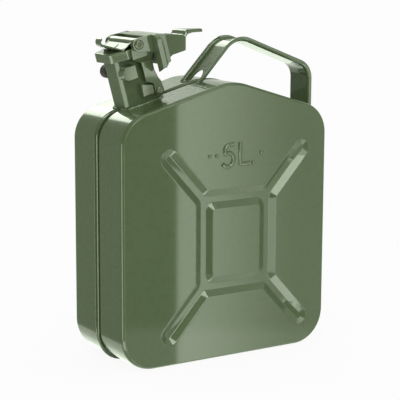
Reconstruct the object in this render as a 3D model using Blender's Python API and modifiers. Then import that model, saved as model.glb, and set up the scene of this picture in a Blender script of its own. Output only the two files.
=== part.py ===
# Five litre steel fuel can: two pressed half shells, a leaning filler neck with a
# lever closure, and a strap handle. Metres, +Z up, X along the width, front face at -Y.

import math

import bmesh
import bpy
from mathutils import Vector
from mathutils.geometry import delaunay_2d_cdt

mm = 0.001

# Can body
body_width = 232 * mm
body_depth = 97 * mm
shoulder_height = 236.5 * mm
peak_rise = 33.5 * mm
peak_shift = 6 * mm
base_corner = 33.4 * mm
shoulder_corner = 31.3 * mm
peak_blend = 58.6 * mm
face_fillet = 4.7 * mm
shell_sheet = 0.8 * mm

# Seam between the half shells
seam_gap = 0.3 * mm
recess_depth = 3 * mm
recess_reach = 4.4 * mm
recess_wall = 1.4 * mm
recess_lip_inset_share = 0.35
recess_lip_reach_share = 0.6
flange_corner = 26 * mm

# Pressed pattern on both faces
pattern_left_margin = 51 * mm
pattern_right_margin = 31 * mm
pattern_low_margin = 30.1 * mm
pattern_high_margin = 37 * mm
frame_half_width = 36.5 * mm
frame_half_height = 42.7 * mm
channel_half = 9.5 * mm
floor_half = 2.9 * mm
frame_inner_corner = 3 * mm
channel_depth = 3.4 * mm

# Filler neck and the parts welded to it
neck_seat = 70.1 * mm
neck_length = 39.8 * mm
neck_shift = 1.4 * mm
neck_breadth = 26 * mm
neck_corner = 8 * mm
neck_sheet = 1.2 * mm
neck_top = 50.4 * mm
neck_root = 6 * mm
vent_radius = 3.8 * mm
vent_wall = 0.9 * mm
vent_top = 44 * mm
vent_depth = 34 * mm
vent_run = 30 * mm
lug_radius = 6.6 * mm
lug_back = 7.4 * mm
lug_centre = 16.8 * mm
lug_height = 33.9 * mm
lug_reach = 12 * mm
lug_round = 0.8 * mm

# Hinge of the closure, in the frame of the neck
hinge_back = 14.2 * mm
hinge_height = 8.5 * mm
hinge_pin_radius = 2.4 * mm
hinge_head_radius = 4 * mm
hinge_head = 1.5 * mm
hinge_dome_share = 0.7
bracket_front = 4 * mm
bracket_back = 8.6 * mm
bracket_low = 7.4 * mm
bracket_high = 20 * mm
bracket_reach = 6.2 * mm
bracket_tongue = 2 * mm
bracket_round = 0.9 * mm

# Stirrup arms
arm_sheet = 1.5 * mm
arm_inset = 4.6 * mm
arm_joggle = 4.9 * mm
arm_front = 2.6 * mm
arm_back = 14.2 * mm
arm_head_front = 8 * mm
arm_head_radius = 6 * mm
arm_eye_radius = 4.7 * mm
arm_throat = 3 * mm
clear_of_pad = 0.8 * mm
throat_low_share = 0.8
throat_high_share = 0.4
joggle_front_share = 0.4
joggle_low = 39.5 * mm
joggle_high = 45.5 * mm

# Cross pin, shared by stirrup, cap and lever
pin_height = 58 * mm
pin_radius = 2.1 * mm
pin_head_radius = 4.6 * mm
pin_head = 1.6 * mm
pin_dimple = 1.7 * mm
pin_dimple_depth = 1.2 * mm
pin_dome_share = 0.8
play = 0.3 * mm

# Cap
cap_nose = 29.4 * mm
cap_rear = 27.4 * mm
cap_nose_half = 14 * mm
cap_half = 21.4 * mm
cap_shoulder = 11 * mm
cap_rear_taper = 6 * mm
cap_corner = 4.5 * mm
cap_sheet = 1.2 * mm
cap_top = 55.4 * mm
cap_skirt = 8.6 * mm
cap_edge = 1.2 * mm
gasket_hole_half = 14 * mm
gasket_hole_breadth = 5 * mm
gasket_hole_corner = 3 * mm
cap_rivet_radius = 2 * mm
cap_rivet_head_radius = 3.4 * mm
cap_rivet_head = 1 * mm
cap_rivet_place = 10.2 * mm
rivet_dome_share = 0.6
rivet_tail_share = 0.8

# Bridge over the cap
bridge_sheet = 1.2 * mm
bridge_half = 19.4 * mm
bridge_rear = 14 * mm
bridge_front = 13.5 * mm
bridge_front_half = 16 * mm
tongue_length = 13.6 * mm
tongue_rise = 7 * mm
tongue_half = 4 * mm
curl_radius = 4.2 * mm
barrel_radius = 5.8 * mm
gusset_front = 14.5 * mm
gusset_turn = math.radians(125)

# Lever
lever_sheet = 1.5 * mm
lever_gap = 0.5 * mm
ear_radius = 6.2 * mm
ear_fall = math.radians(17.4)
cheek_front = 15 * mm
cheek_drop = 31 * mm
cheek_heel_rise = 6 * mm
lever_back = 29.6 * mm
lever_back_fall = 4.7 * mm
wall_drop = 20 * mm
web_start = 9 * mm
web_bend = 15.7 * mm
web_bend_fall = 1.2 * mm
wing_reach = 8.5 * mm
wing_lip = 4.6 * mm
wing_drop = 27 * mm
wing_slant = 4 * mm
wing_corner = 5 * mm
tail_half = 12 * mm
tail_end = 59 * mm
tail_end_fall = 9.7 * mm
tail_start_fall = 0.8 * mm
tail_height = 14.2 * mm
tail_lean = math.radians(15.3)
tail_low_run = 15 * mm
tail_throat_run = 6.5 * mm
tail_throat_drop = 6 * mm
tab_rise = 4.2 * mm
tab_length = 20.5 * mm
tab_end_half = 6 * mm
tab_fall = math.radians(13)
tab_fold_share = 0.4
tab_length_shares = (0.12, 0.8, 0.94, 1)
tab_width_shares = (1, 0.3, 0.1, -0.35)

# Strap handle
strap_half = 16 * mm
strap_sheet = 1.5 * mm
strap_height = 4.6 * mm
strap_bend_place = 23.7 * mm
strap_bend_rise = 43 * mm
strap_left_slope = math.radians(46.9)
strap_top_slope = math.radians(20.9)
strap_left_bend = 26 * mm
strap_right_bend = 20 * mm
strap_foot_drop = 46.5 * mm
strap_foot_cut = 12 * mm
strap_foot_lift_share = 0.6
notch_half = 7.5 * mm
notch_height = 9.5 * mm

# Shared allowances
smooth_angle = math.radians(35)
seat_gap = 0.3 * mm
overrun = 20 * mm
weld_distance = 0.0001 * mm
spin_weld = 0.1 * mm

# Counts of segments
corner_steps = 8
small_steps = 4
round_steps = 24
edge_steps = 2
tube_steps = 3
tube_lengths = 4


# Sizes that follow from the ones above
half_width = body_width / 2
half_depth = body_depth / 2
peak_height = shoulder_height + peak_rise
left_slope = math.atan2(peak_rise, half_width + peak_shift)
pattern_shift = (pattern_left_margin - pattern_right_margin) / 2
pattern_height = (pattern_low_margin + shoulder_height - pattern_high_margin) / 2
arm_run = half_width - pattern_shift - pattern_right_margin - frame_half_width
arm_rise = pattern_height - pattern_low_margin - frame_half_height
neck_half = neck_length / 2
neck_side = neck_breadth / 2
arm_side = neck_side + arm_inset
arm_head_side = arm_side + arm_joggle
arm_head_outside = arm_head_side + arm_sheet
cheek_side = arm_head_outside + lever_gap
lever_side = cheek_side + lever_sheet
pin_half = lever_side + play
cap_under = cap_top - cap_sheet
cap_low = cap_top - cap_skirt
gasket_low = neck_top + seat_gap
gasket_high = cap_under - seat_gap
bridge_low = cap_top + seat_gap
bridge_middle = bridge_low + bridge_sheet / 2
lever_top = pin_height + ear_radius
tongue_lean = math.atan2(tongue_rise, tongue_length)
curl_place = (-bridge_front - tongue_length + curl_radius * math.sin(tongue_lean),
              bridge_middle + tongue_rise + curl_radius * math.cos(tongue_lean))
reach_left = (neck_seat - curl_place[0] * math.cos(left_slope) + curl_place[1] * math.sin(left_slope)
              + curl_radius + bridge_sheet / 2)
reach_right = half_width + seat_gap + strap_height
strap_foot_height = shoulder_height - strap_foot_drop
strap_left_x = peak_shift + strap_bend_place


def clear_scene():
    for item in list(bpy.data.objects):
        bpy.data.objects.remove(item, do_unlink=True)


def new_collection(name):
    group = bpy.data.collections.new(name)
    bpy.context.scene.collection.children.link(group)
    return group


clear_scene()
parts = new_collection("fuel_can_5l")
cutters = new_collection("cutters")


# Materials

def make_material(name, colour, roughness, metallic):
    material = bpy.data.materials.new(name)
    material.use_nodes = True
    shader = material.node_tree.nodes["Principled BSDF"]
    shader.inputs["Base Color"].default_value = (*colour, 1.0)
    shader.inputs["Roughness"].default_value = roughness
    shader.inputs["Metallic"].default_value = metallic
    return material


body_paint = make_material("body_paint", (0.105, 0.150, 0.075), 0.28, 0.0)
fitting_paint = make_material("fitting_paint", (0.110, 0.145, 0.080), 0.36, 0.0)
pin_steel = make_material("pin_steel", (0.150, 0.165, 0.110), 0.34, 0.6)
black_rubber = make_material("black_rubber", (0.020, 0.020, 0.019), 0.75, 0.0)
bare_steel = make_material("bare_steel", (0.450, 0.440, 0.410), 0.38, 0.9)


# Outlines, as lists of plane points

def arc_points(centre, radius, start, end, steps):
    points = []
    for step in range(steps + 1):
        angle = start + (end - start) * step / steps
        points.append(Vector((centre[0] + radius * math.cos(angle),
                              centre[1] + radius * math.sin(angle))))
    return points


def rounded_outline(corners, radii, steps):
    points = []
    count = len(corners)
    for index in range(count):
        here = Vector(corners[index])
        before = (Vector(corners[index - 1]) - here).normalized()
        after = (Vector(corners[(index + 1) % count]) - here).normalized()
        half_angle = before.angle(after) / 2
        centre = here + (before + after).normalized() * radii[index] / math.sin(half_angle)
        first = here + before * radii[index] / math.tan(half_angle) - centre
        last = here + after * radii[index] / math.tan(half_angle) - centre
        start = math.atan2(first.y, first.x)
        turn = math.atan2(last.y, last.x) - start
        turn = (turn + math.pi) % (2 * math.pi) - math.pi
        points += arc_points(centre, radii[index], start, start + turn, steps)
    return points


def inset_corners(corners, inset):
    moved = []
    count = len(corners)
    for index in range(count):
        here = Vector(corners[index])
        first = (here - Vector(corners[index - 1])).normalized()
        second = (Vector(corners[(index + 1) % count]) - here).normalized()
        first_normal = Vector((-first.y, first.x))
        second_normal = Vector((-second.y, second.x))
        push = (first_normal + second_normal) / (1 + first_normal.dot(second_normal))
        moved.append(here + push * inset)
    return moved


def body_outline(inset, corner_change=0.0):
    corners = [(-half_width, 0), (half_width, 0), (half_width, shoulder_height),
               (peak_shift, peak_height), (-half_width, shoulder_height)]
    radii = [base_corner - corner_change, base_corner - corner_change,
             shoulder_corner - corner_change, peak_blend - corner_change,
             shoulder_corner - corner_change]
    radii = [radius - inset for radius in radii]
    return rounded_outline(inset_corners(corners, inset), radii, corner_steps)


def rectangle_outline(half_x, half_y, radius, steps, centre=(0, 0)):
    corners = [(centre[0] - half_x, centre[1] - half_y), (centre[0] + half_x, centre[1] - half_y),
               (centre[0] + half_x, centre[1] + half_y), (centre[0] - half_x, centre[1] + half_y)]
    return rounded_outline(corners, [radius] * len(corners), steps)


def channel_outer(reach):
    along = Vector((arm_run, arm_rise)).normalized()
    across = Vector((along.y, -along.x))
    corner = Vector((frame_half_width, frame_half_height))
    tip = corner + Vector((arm_run, arm_rise))
    side_step = reach * (1 - across.x) / along.x
    top_step = reach * (1 + across.y) / along.y
    start = math.atan2(across.y, across.x)
    quarter = [corner + across * reach + along * side_step]
    quarter += arc_points(tip, reach, start, start + math.pi, corner_steps)
    quarter.append(corner - across * reach + along * top_step)
    loop = []
    for sign_x, sign_y in ((1, 1), (-1, 1), (-1, -1), (1, -1)):
        turned = [Vector((point.x * sign_x, point.y * sign_y)) for point in quarter]
        if sign_x * sign_y < 0:
            turned.reverse()
        loop += turned
    return loop


def channel_inner(reach):
    return rectangle_outline(frame_half_width - reach, frame_half_height - reach,
                             frame_inner_corner + channel_half - reach, small_steps)


# Mesh helpers

def finish(item, material):
    parts.objects.link(item)
    item.data.materials.append(material)
    item.data.shade_smooth()
    item.data.set_sharp_from_angle(angle=smooth_angle)
    return item


def mesh_object(name, mesh_data):
    mesh = bpy.data.meshes.new(name)
    mesh_data.to_mesh(mesh)
    mesh_data.free()
    return bpy.data.objects.new(name, mesh)


def add_boolean(item, other, operation):
    change = item.modifiers.new(operation.lower() + "_" + other.name, "BOOLEAN")
    change.operation = operation
    change.object = other
    change.solver = "EXACT"


def as_cutter(item):
    cutters.objects.link(item)
    item.display_type = "WIRE"
    item.hide_render = True
    return item


def prism(name, outline, low, high):
    # A closed outline in X and Z, pushed out along Y from low to high.
    mesh = bmesh.new()
    near = [mesh.verts.new((point[0], low, point[1])) for point in outline]
    far = [mesh.verts.new((point[0], high, point[1])) for point in outline]
    mesh.faces.new(near)
    mesh.faces.new(list(reversed(far)))
    count = len(outline)
    for index in range(count):
        following = (index + 1) % count
        mesh.faces.new((near[following], near[index], far[index], far[following]))
    bmesh.ops.recalc_face_normals(mesh, faces=mesh.faces)
    return mesh_object(name, mesh)


def upright_prism(name, outline, low, high):
    # A closed outline in X and Y, raised along Z from low to high.
    item = prism(name, outline, -high, -low)
    for vertex in item.data.vertices:
        vertex.co = Vector((vertex.co.x, vertex.co.z, -vertex.co.y))
    return item


def cross_cylinder(name, radius, low, high, place):
    # A cylinder along Y, centred on a place in X and Z.
    outline = arc_points(place, radius, 0, 2 * math.pi, round_steps)[:-1]
    return prism(name, outline, low, high)


def ring_wall(name, outlines, levels, thickness, close_top):
    # Stacked outlines joined into an open wall, thickened inwards.
    mesh = bmesh.new()
    rings = []
    for outline, level in zip(outlines, levels):
        rings.append([mesh.verts.new((point.x, point.y, level)) for point in outline])
    for lower, upper in zip(rings, rings[1:]):
        count = len(lower)
        for index in range(count):
            following = (index + 1) % count
            mesh.faces.new((lower[index], lower[following], upper[following], upper[index]))
    if close_top:
        mesh.faces.new(rings[-1])
    item = mesh_object(name, mesh)
    shell = item.modifiers.new("wall", "SOLIDIFY")
    shell.thickness = thickness
    shell.offset = -1
    shell.use_even_offset = True
    return item


def sheet_strip(name, path, half_widths, thickness):
    # A bent sheet: path points in X and Z, each with its half width in Y.
    mesh = bmesh.new()
    rows = []
    for point, half in zip(path, half_widths):
        rows.append((mesh.verts.new((point[0], -half, point[1])),
                     mesh.verts.new((point[0], half, point[1]))))
    for first, second in zip(rows, rows[1:]):
        mesh.faces.new((first[0], second[0], second[1], first[1]))
    item = mesh_object(name, mesh)
    shell = item.modifiers.new("sheet", "SOLIDIFY")
    shell.thickness = thickness
    shell.offset = 0
    shell.use_even_offset = True
    return item


def turned(name, profile, place):
    # A profile of radius and distance, turned about a line along Y.
    ordered = max(profile, profile[::-1], key=lambda line: line[0][1])
    mesh = bmesh.new()
    points = [mesh.verts.new((radius, distance, 0)) for radius, distance in ordered]
    for first, second in zip(points, points[1:]):
        mesh.edges.new((first, second))
    item = mesh_object(name, mesh)
    spin = item.modifiers.new("turn", "SCREW")
    spin.axis = "Y"
    spin.steps = round_steps
    spin.render_steps = round_steps
    spin.use_merge_vertices = True
    spin.merge_threshold = spin_weld
    item.location = (place[0], 0, place[1])
    return item


def new_empty(name, place, parent=None):
    item = bpy.data.objects.new(name, None)
    cutters.objects.link(item)
    item.location = place
    item.parent = parent
    return item


# Frames: the whole can, the neck square on its left slope, and the two pivots of the closure

neck_place = Vector((-neck_seat, 0,
                     shoulder_height + (half_width - neck_seat) * math.tan(left_slope)))
can_frame = new_empty("can_frame", ((reach_left - reach_right) / 2, 0, 0))
neck_frame = new_empty("neck_frame", neck_place)
neck_frame.rotation_euler = (0, -left_slope, 0)
hinge_place = (hinge_back, hinge_height)
pin_place = (0, pin_height)
hinge_pivot = new_empty("hinge_pivot", (hinge_back, 0, hinge_height), neck_frame)
pin_pivot = new_empty("pin_pivot", (-hinge_back, 0, pin_height - hinge_height), hinge_pivot)


def hang(item, pivot):
    # Shapes are drawn in the frame of the neck and hung on a pivot of it.
    item.parent = pivot
    if pivot is hinge_pivot:
        item.location = item.location - Vector((hinge_back, 0, hinge_height))
    if pivot is pin_pivot:
        item.location = item.location - Vector((0, 0, pin_height))
    return item


# Half shells

def face_points():
    # The pressed face: loops of plane points with the depth of each loop.
    centre = Vector((pattern_shift, pattern_height))
    loops = [(channel_outer(channel_half), 0.0), (channel_outer(floor_half), channel_depth),
             (channel_inner(channel_half), 0.0), (channel_inner(floor_half), channel_depth)]
    return [([point + centre for point in loop], depth) for loop, depth in loops]


def fill_face(mesh, border, level, inward):
    # Fills the border ring with triangles that follow the pressed channels.
    plane = [Vector((vertex.co.x, vertex.co.z)) for vertex in border]
    edges = [(index, (index + 1) % len(plane)) for index in range(len(plane))]
    owners = list(border)
    for loop, depth in face_points():
        first = len(plane)
        plane += loop
        edges += [(first + index, first + (index + 1) % len(loop)) for index in range(len(loop))]
        owners += [mesh.verts.new((point.x, level + depth * inward, point.y)) for point in loop]
    result = delaunay_2d_cdt(plane, edges, [], 0, weld_distance)
    for triangle in result[2]:
        corners = [owners[result[3][index][0]] for index in triangle]
        mesh.faces.new(corners)


def half_shell(name, side):
    # side is -1 for the front half and 1 for the rear half.
    flange_face = seam_gap / 2 + shell_sheet
    stations = [(0.0, flange_face, base_corner - flange_corner),
                (recess_depth, flange_face, 0.0),
                (recess_depth, recess_reach, 0.0),
                (recess_depth * recess_lip_inset_share,
                 recess_reach + recess_wall * recess_lip_reach_share, 0.0),
                (0.0, recess_reach + recess_wall, 0.0)]
    for step in range(small_steps + 1):
        angle = math.pi / 2 * step / small_steps
        stations.append((face_fillet * (1 - math.cos(angle)),
                         half_depth - face_fillet * (1 - math.sin(angle)), 0.0))
    mesh = bmesh.new()
    rings = []
    for inset, reach, corner_change in stations:
        outline = body_outline(inset, corner_change)
        rings.append([mesh.verts.new((point.x, side * reach, point.y)) for point in outline])
    for inner, outer in zip(rings, rings[1:]):
        count = len(inner)
        for index in range(count):
            following = (index + 1) % count
            mesh.faces.new((inner[index], inner[following], outer[following], outer[index]))
    fill_face(mesh, rings[-1], side * half_depth, -side)
    bmesh.ops.recalc_face_normals(mesh, faces=mesh.faces)
    mesh.faces.ensure_lookup_table()
    widest = max(mesh.faces, key=lambda face: abs(face.calc_center_median().y))
    if widest.normal.y * side < 0:
        bmesh.ops.reverse_faces(mesh, faces=mesh.faces)
    item = mesh_object(name, mesh)
    shell = item.modifiers.new("wall", "SOLIDIFY")
    shell.thickness = shell_sheet
    shell.offset = -1
    shell.use_even_offset = True
    add_boolean(item, neck_hole, "DIFFERENCE")
    return finish(item, body_paint)


def neck_outline(grow):
    return rectangle_outline(neck_half + grow, neck_side + grow, neck_corner + grow, small_steps,
                             (-neck_shift, 0))


neck_hole = as_cutter(upright_prism("neck_hole", neck_outline(seat_gap), -overrun, overrun))
neck_hole.parent = neck_frame
half_shell("front_shell", -1)
half_shell("rear_shell", 1)


# Filler neck, vent and lugs

def filler_neck():
    outline = neck_outline(0.0)
    item = ring_wall("filler_neck", [outline, outline, outline],
                     [-neck_root, (neck_top - neck_root) / 2, neck_top], neck_sheet, False)
    item.parent = neck_frame
    return finish(item, body_paint)


def breather_tube():
    # A bent tube that leads air from under the shoulder to the mouth.
    back = neck_half - neck_shift - neck_sheet - seat_gap - vent_radius
    route = [(back, vent_top), (back, 0), (back, -vent_depth / 3),
             (back + vent_run / 4, -vent_depth / 2 - vent_radius), (back + vent_run, -vent_depth / 2)]
    curve = bpy.data.curves.new("breather_tube", "CURVE")
    curve.dimensions = "3D"
    curve.bevel_depth = vent_radius
    curve.bevel_resolution = tube_steps
    curve.resolution_u = tube_lengths
    line = curve.splines.new("BEZIER")
    line.bezier_points.add(len(route) - 1)
    for point, place in zip(line.bezier_points, route):
        point.co = (place[0], 0, place[1])
        point.handle_left_type = "AUTO"
        point.handle_right_type = "AUTO"
    item = bpy.data.objects.new("breather_tube", curve)
    parts.objects.link(item)
    item.data.materials.append(bare_steel)
    wall = item.modifiers.new("wall", "SOLIDIFY")
    wall.thickness = vent_wall
    wall.offset = -1
    item.parent = neck_frame
    return item


def spout_lug(name, side):
    outline = arc_points((-lug_centre, lug_height), lug_radius, math.pi / 2, 3 * math.pi / 2,
                         corner_steps)
    outline += [Vector((-lug_back, lug_height - lug_radius)),
                Vector((-lug_back, lug_height + lug_radius))]
    near = side * (neck_side + seat_gap)
    far = side * (neck_side + lug_reach)
    item = prism(name, outline, min(near, far), max(near, far))
    edge = item.modifiers.new("edge", "BEVEL")
    edge.width = lug_round
    edge.segments = edge_steps
    item.parent = neck_frame
    return finish(item, body_paint)


filler_neck()
breather_tube()
spout_lug("spout_lug_front", -1)
spout_lug("spout_lug_rear", 1)


# Hinge brackets and their pins

def hinge_bracket(name, side):
    # A pad on the side of the neck, with a tongue that carries the hinge pin.
    near = side * (neck_side + seat_gap)
    pad = [(-bracket_front, bracket_low), (bracket_back, bracket_low),
           (bracket_back, bracket_high - bracket_front),
           (-bracket_front + bracket_round, bracket_high)]
    far = side * (neck_side + bracket_reach)
    item = prism(name, pad, min(near, far), max(near, far))
    edge = item.modifiers.new("edge", "BEVEL")
    edge.width = bracket_round
    edge.segments = edge_steps
    tongue = [Vector((0, bracket_low + bracket_round))]
    tongue += arc_points(hinge_place, arm_eye_radius - play, -math.pi / 2, math.pi / 2, corner_steps)
    tongue.append(Vector((0, hinge_height + arm_eye_radius)))
    tongue_far = side * (neck_side + seat_gap + bracket_tongue)
    plate = as_cutter(prism(name + "_tongue", tongue, min(near, tongue_far),
                            max(near, tongue_far)))
    plate.parent = neck_frame
    add_boolean(item, plate, "UNION")
    low = side * neck_side
    high = side * (arm_side + overrun)
    bore = as_cutter(cross_cylinder(name + "_bore", hinge_pin_radius + play,
                                    min(low, high), max(low, high), hinge_place))
    bore.parent = neck_frame
    add_boolean(item, bore, "DIFFERENCE")
    item.parent = neck_frame
    return finish(item, body_paint)


def hinge_pin(name, side):
    # A shouldered rivet: shank through the tongue and the arm, head outside.
    inside = neck_side + seat_gap
    shoulder_low = inside + bracket_tongue + play
    shoulder_high = arm_side - play
    head_low = arm_side + arm_sheet + play
    profile = [(0, inside), (hinge_pin_radius, inside), (hinge_pin_radius, shoulder_low),
               (hinge_head_radius, shoulder_low), (hinge_head_radius, shoulder_high),
               (hinge_pin_radius, shoulder_high), (hinge_pin_radius, head_low),
               (hinge_head_radius, head_low), (hinge_head_radius, head_low + hinge_head / 2),
               (hinge_head_radius * hinge_dome_share, head_low + hinge_head),
               (0, head_low + hinge_head)]
    item = turned(name, [(radius, side * distance) for radius, distance in profile], hinge_place)
    item.parent = neck_frame
    return finish(item, pin_steel)


for ending, side in (("front", -1), ("rear", 1)):
    hinge_bracket("hinge_bracket_" + ending, side)
    hinge_pin("hinge_pin_" + ending, side)


# Stirrup arms

def arm_stations():
    # Front edge, back edge, height and joggle share, from the hinge eye to the head.
    eye = arm_eye_radius
    rows = []
    for step in range(1, corner_steps):
        angle = -math.pi / 2 + math.pi / 2 * step / corner_steps
        spread = eye * math.cos(angle)
        height = hinge_height + eye * math.sin(angle)
        rows.append((hinge_back - spread, hinge_back + spread, height, 0))
    rows += [(hinge_back - eye, hinge_back + eye, hinge_height, 0),
             (bracket_back + clear_of_pad, hinge_back + eye * throat_low_share,
              bracket_high - arm_throat, 0),
             (arm_front, hinge_back + eye * throat_high_share, bracket_high + clear_of_pad, 0),
             (arm_front, arm_back, (bracket_high + joggle_low) / 2, 0),
             (arm_front - play, arm_back, joggle_low, 0),
             (-arm_head_front * joggle_front_share, arm_back,
              (joggle_low + joggle_high) / 2, 1 / 2),
             (-arm_head_front, arm_back, joggle_high, 1),
             (-arm_head_front, arm_back, (joggle_high + pin_height) / 2, 1),
             (-arm_head_radius, arm_head_radius, pin_height, 1)]
    for step in range(1, corner_steps):
        angle = math.pi / 2 * step / corner_steps
        spread = arm_head_radius * math.cos(angle)
        rows.append((-spread, spread, pin_height + arm_head_radius * math.sin(angle), 1))
    return rows


def stirrup_arm(name, side):
    mesh = bmesh.new()
    rows = []
    for front, back, height, share in arm_stations():
        place = side * (arm_side + arm_sheet / 2 + arm_joggle * share)
        rows.append((mesh.verts.new((front, place, height)), mesh.verts.new((back, place, height))))
    for first, second in zip(rows, rows[1:]):
        mesh.faces.new((first[0], first[1], second[1], second[0]))
    item = mesh_object(name, mesh)
    sheet = item.modifiers.new("sheet", "SOLIDIFY")
    sheet.thickness = arm_sheet
    sheet.offset = 0
    low = side * neck_side
    high = side * (lever_side + overrun)
    for label, radius, place in (("_foot_bore", hinge_pin_radius, hinge_place),
                                 ("_head_bore", pin_radius, pin_place)):
        bore = as_cutter(cross_cylinder(name + label, radius + play, min(low, high),
                                        max(low, high), place))
        hang(bore, hinge_pivot)
        add_boolean(item, bore, "DIFFERENCE")
    hang(item, hinge_pivot)
    return finish(item, fitting_paint)


def cross_pin():
    # A long tubular rivet with a dimpled head at each end.
    head_low = pin_half
    head_high = pin_half + pin_head
    end = [(pin_radius, head_low), (pin_head_radius, head_low),
           (pin_head_radius, head_low + pin_head / 2), (pin_head_radius * pin_dome_share, head_high),
           (pin_dimple, head_high), (pin_dimple * pin_dome_share, head_high - pin_dimple_depth),
           (0, head_high - pin_dimple_depth)]
    profile = [(radius, -distance) for radius, distance in reversed(end)] + end
    item = turned("cross_pin", profile, pin_place)
    hang(item, hinge_pivot)
    return finish(item, pin_steel)


stirrup_arm("stirrup_arm_front", -1)
stirrup_arm("stirrup_arm_rear", 1)
cross_pin()


# Cap, gasket and bridge

def cap_outline(inset):
    corners = [(-cap_nose, -cap_nose_half), (-cap_shoulder, -cap_half),
               (cap_rear - cap_rear_taper, -cap_half), (cap_rear, -cap_half + cap_rear_taper),
               (cap_rear, cap_half - cap_rear_taper), (cap_rear - cap_rear_taper, cap_half),
               (-cap_shoulder, cap_half), (-cap_nose, cap_nose_half)]
    radii = [cap_corner] * len(corners)
    radii = [radius - inset for radius in radii]
    return rounded_outline(inset_corners(corners, inset), radii, small_steps)


def hung_bore(name, radius, low, high, place):
    outline = arc_points(place, radius, 0, 2 * math.pi, round_steps)[:-1]
    return as_cutter(hang(upright_prism(name, outline, low, high), pin_pivot))


def cap_shell():
    outlines = [cap_outline(0.0), cap_outline(0.0)]
    levels = [cap_low, cap_top - cap_edge]
    for step in range(1, small_steps + 1):
        angle = math.pi / 2 * step / small_steps
        outlines.append(cap_outline(cap_edge * (1 - math.cos(angle))))
        levels.append(cap_top - cap_edge * (1 - math.sin(angle)))
    item = ring_wall("cap_shell", outlines, levels, cap_sheet, True)
    add_boolean(item, rivet_bore, "DIFFERENCE")
    hang(item, pin_pivot)
    return finish(item, fitting_paint)


def cap_gasket():
    item = upright_prism("cap_gasket", cap_outline(cap_sheet + seat_gap), gasket_low, gasket_high)
    hole = rectangle_outline(gasket_hole_half, gasket_hole_breadth, gasket_hole_corner, small_steps)
    window = as_cutter(hang(upright_prism("gasket_hole", hole, gasket_low - overrun,
                                          gasket_high + overrun), pin_pivot))
    add_boolean(item, window, "DIFFERENCE")
    hang(item, pin_pivot)
    return finish(item, black_rubber)


def bridge_path():
    # Curled tip, rising tongue, foot, barrel over the pin, and rear foot.
    foot = bridge_middle
    curl = arc_points(curl_place, curl_radius, math.pi / 2, 3 * math.pi / 2 - tongue_lean,
                      2 * small_steps)
    middle = barrel_radius - bridge_sheet / 2
    dip = math.asin((pin_height - foot) / middle)
    barrel = arc_points(pin_place, middle, math.pi + dip, -dip, corner_steps + small_steps)
    path = curl + [Vector((-bridge_front, foot))] + barrel + [Vector((bridge_rear, foot))]
    halves = [tongue_half] * len(curl) + [bridge_front_half] + [bridge_half] * (len(barrel) + 1)
    return path, halves


def cap_bridge():
    path, halves = bridge_path()
    item = sheet_strip("cap_bridge", path, halves, bridge_sheet)
    gusset = [Vector((-gusset_front, bridge_low + bridge_sheet / 2))]
    gusset += list(reversed(arc_points(pin_place, barrel_radius - bridge_sheet / 2, 0,
                                       gusset_turn, corner_steps)))
    gusset += [Vector((barrel_radius, bridge_low + bridge_sheet / 2))]
    for label, side in (("_front", -1), ("_rear", 1)):
        near = side * (bridge_half - bridge_sheet - play)
        far = side * (bridge_half - play)
        plate = as_cutter(hang(prism("gusset" + label, gusset, min(near, far), max(near, far)),
                               pin_pivot))
        add_boolean(item, plate, "UNION")
    reach = bridge_half + overrun
    bore = as_cutter(hang(cross_cylinder("gusset_bore", pin_radius + play, -reach, reach,
                                         pin_place), pin_pivot))
    add_boolean(item, bore, "DIFFERENCE")
    add_boolean(item, rivet_bore, "DIFFERENCE")
    hang(item, pin_pivot)
    return finish(item, fitting_paint)


def cap_rivet():
    head_low = bridge_low + bridge_sheet + play
    tail_high = cap_under - play
    head_top = head_low + cap_rivet_head
    tail_low = tail_high - cap_rivet_head
    tail_radius = cap_rivet_head_radius * rivet_tail_share
    profile = [(0, head_top), (cap_rivet_head_radius * rivet_dome_share, head_top),
               (cap_rivet_head_radius, head_low + cap_rivet_head / 2),
               (cap_rivet_head_radius, head_low), (cap_rivet_radius, head_low),
               (cap_rivet_radius, tail_high), (tail_radius, tail_high), (tail_radius, tail_low),
               (0, tail_low)]
    item = turned("cap_rivet", profile, (0, 0))
    item.rotation_euler = (math.pi / 2, 0, 0)
    item.location = (-cap_rivet_place, 0, 0)
    hang(item, pin_pivot)
    return finish(item, pin_steel)


rivet_bore = hung_bore("rivet_bore", cap_rivet_radius + play, cap_low, cap_top + overrun,
                       (-cap_rivet_place, 0))
cap_shell()
cap_gasket()
cap_bridge()
cap_rivet()


# Lever

def lever_outline():
    # One cheek: round ear at the pin, deep heel behind it.
    low = -math.pi / 2 - ear_fall
    ear = arc_points(pin_place, ear_radius, math.pi / 2, 2 * math.pi + low,
                     corner_steps + small_steps)
    fall = (cheek_front - ear[-1].x) * math.tan(ear_fall)
    heel = pin_height - cheek_drop
    return ear + [Vector((cheek_front, ear[-1].y - fall)), Vector((cheek_front, heel)),
                  Vector((lever_back, heel + cheek_heel_rise)),
                  Vector((lever_back, lever_top - lever_back_fall)),
                  Vector((web_bend, lever_top - web_bend_fall))]


def lever_hollow():
    # What is open between the cheeks, leaving the web, the press lip and the rear wall.
    inside = lever_back - lever_sheet
    lip = pin_height - play
    return [(-overrun, pin_height - cheek_drop - overrun), (inside, pin_height - wall_drop - overrun),
            (inside, pin_height - wall_drop), (inside, lever_top - lever_back_fall - lever_sheet),
            (web_bend, lever_top - web_bend_fall - lever_sheet),
            (web_start + lever_sheet, lever_top - web_bend_fall - lever_sheet + play),
            (web_start + lever_sheet, lip), (web_start, lip), (web_start, lever_top + overrun),
            (-overrun, lever_top + overrun)]


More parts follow.
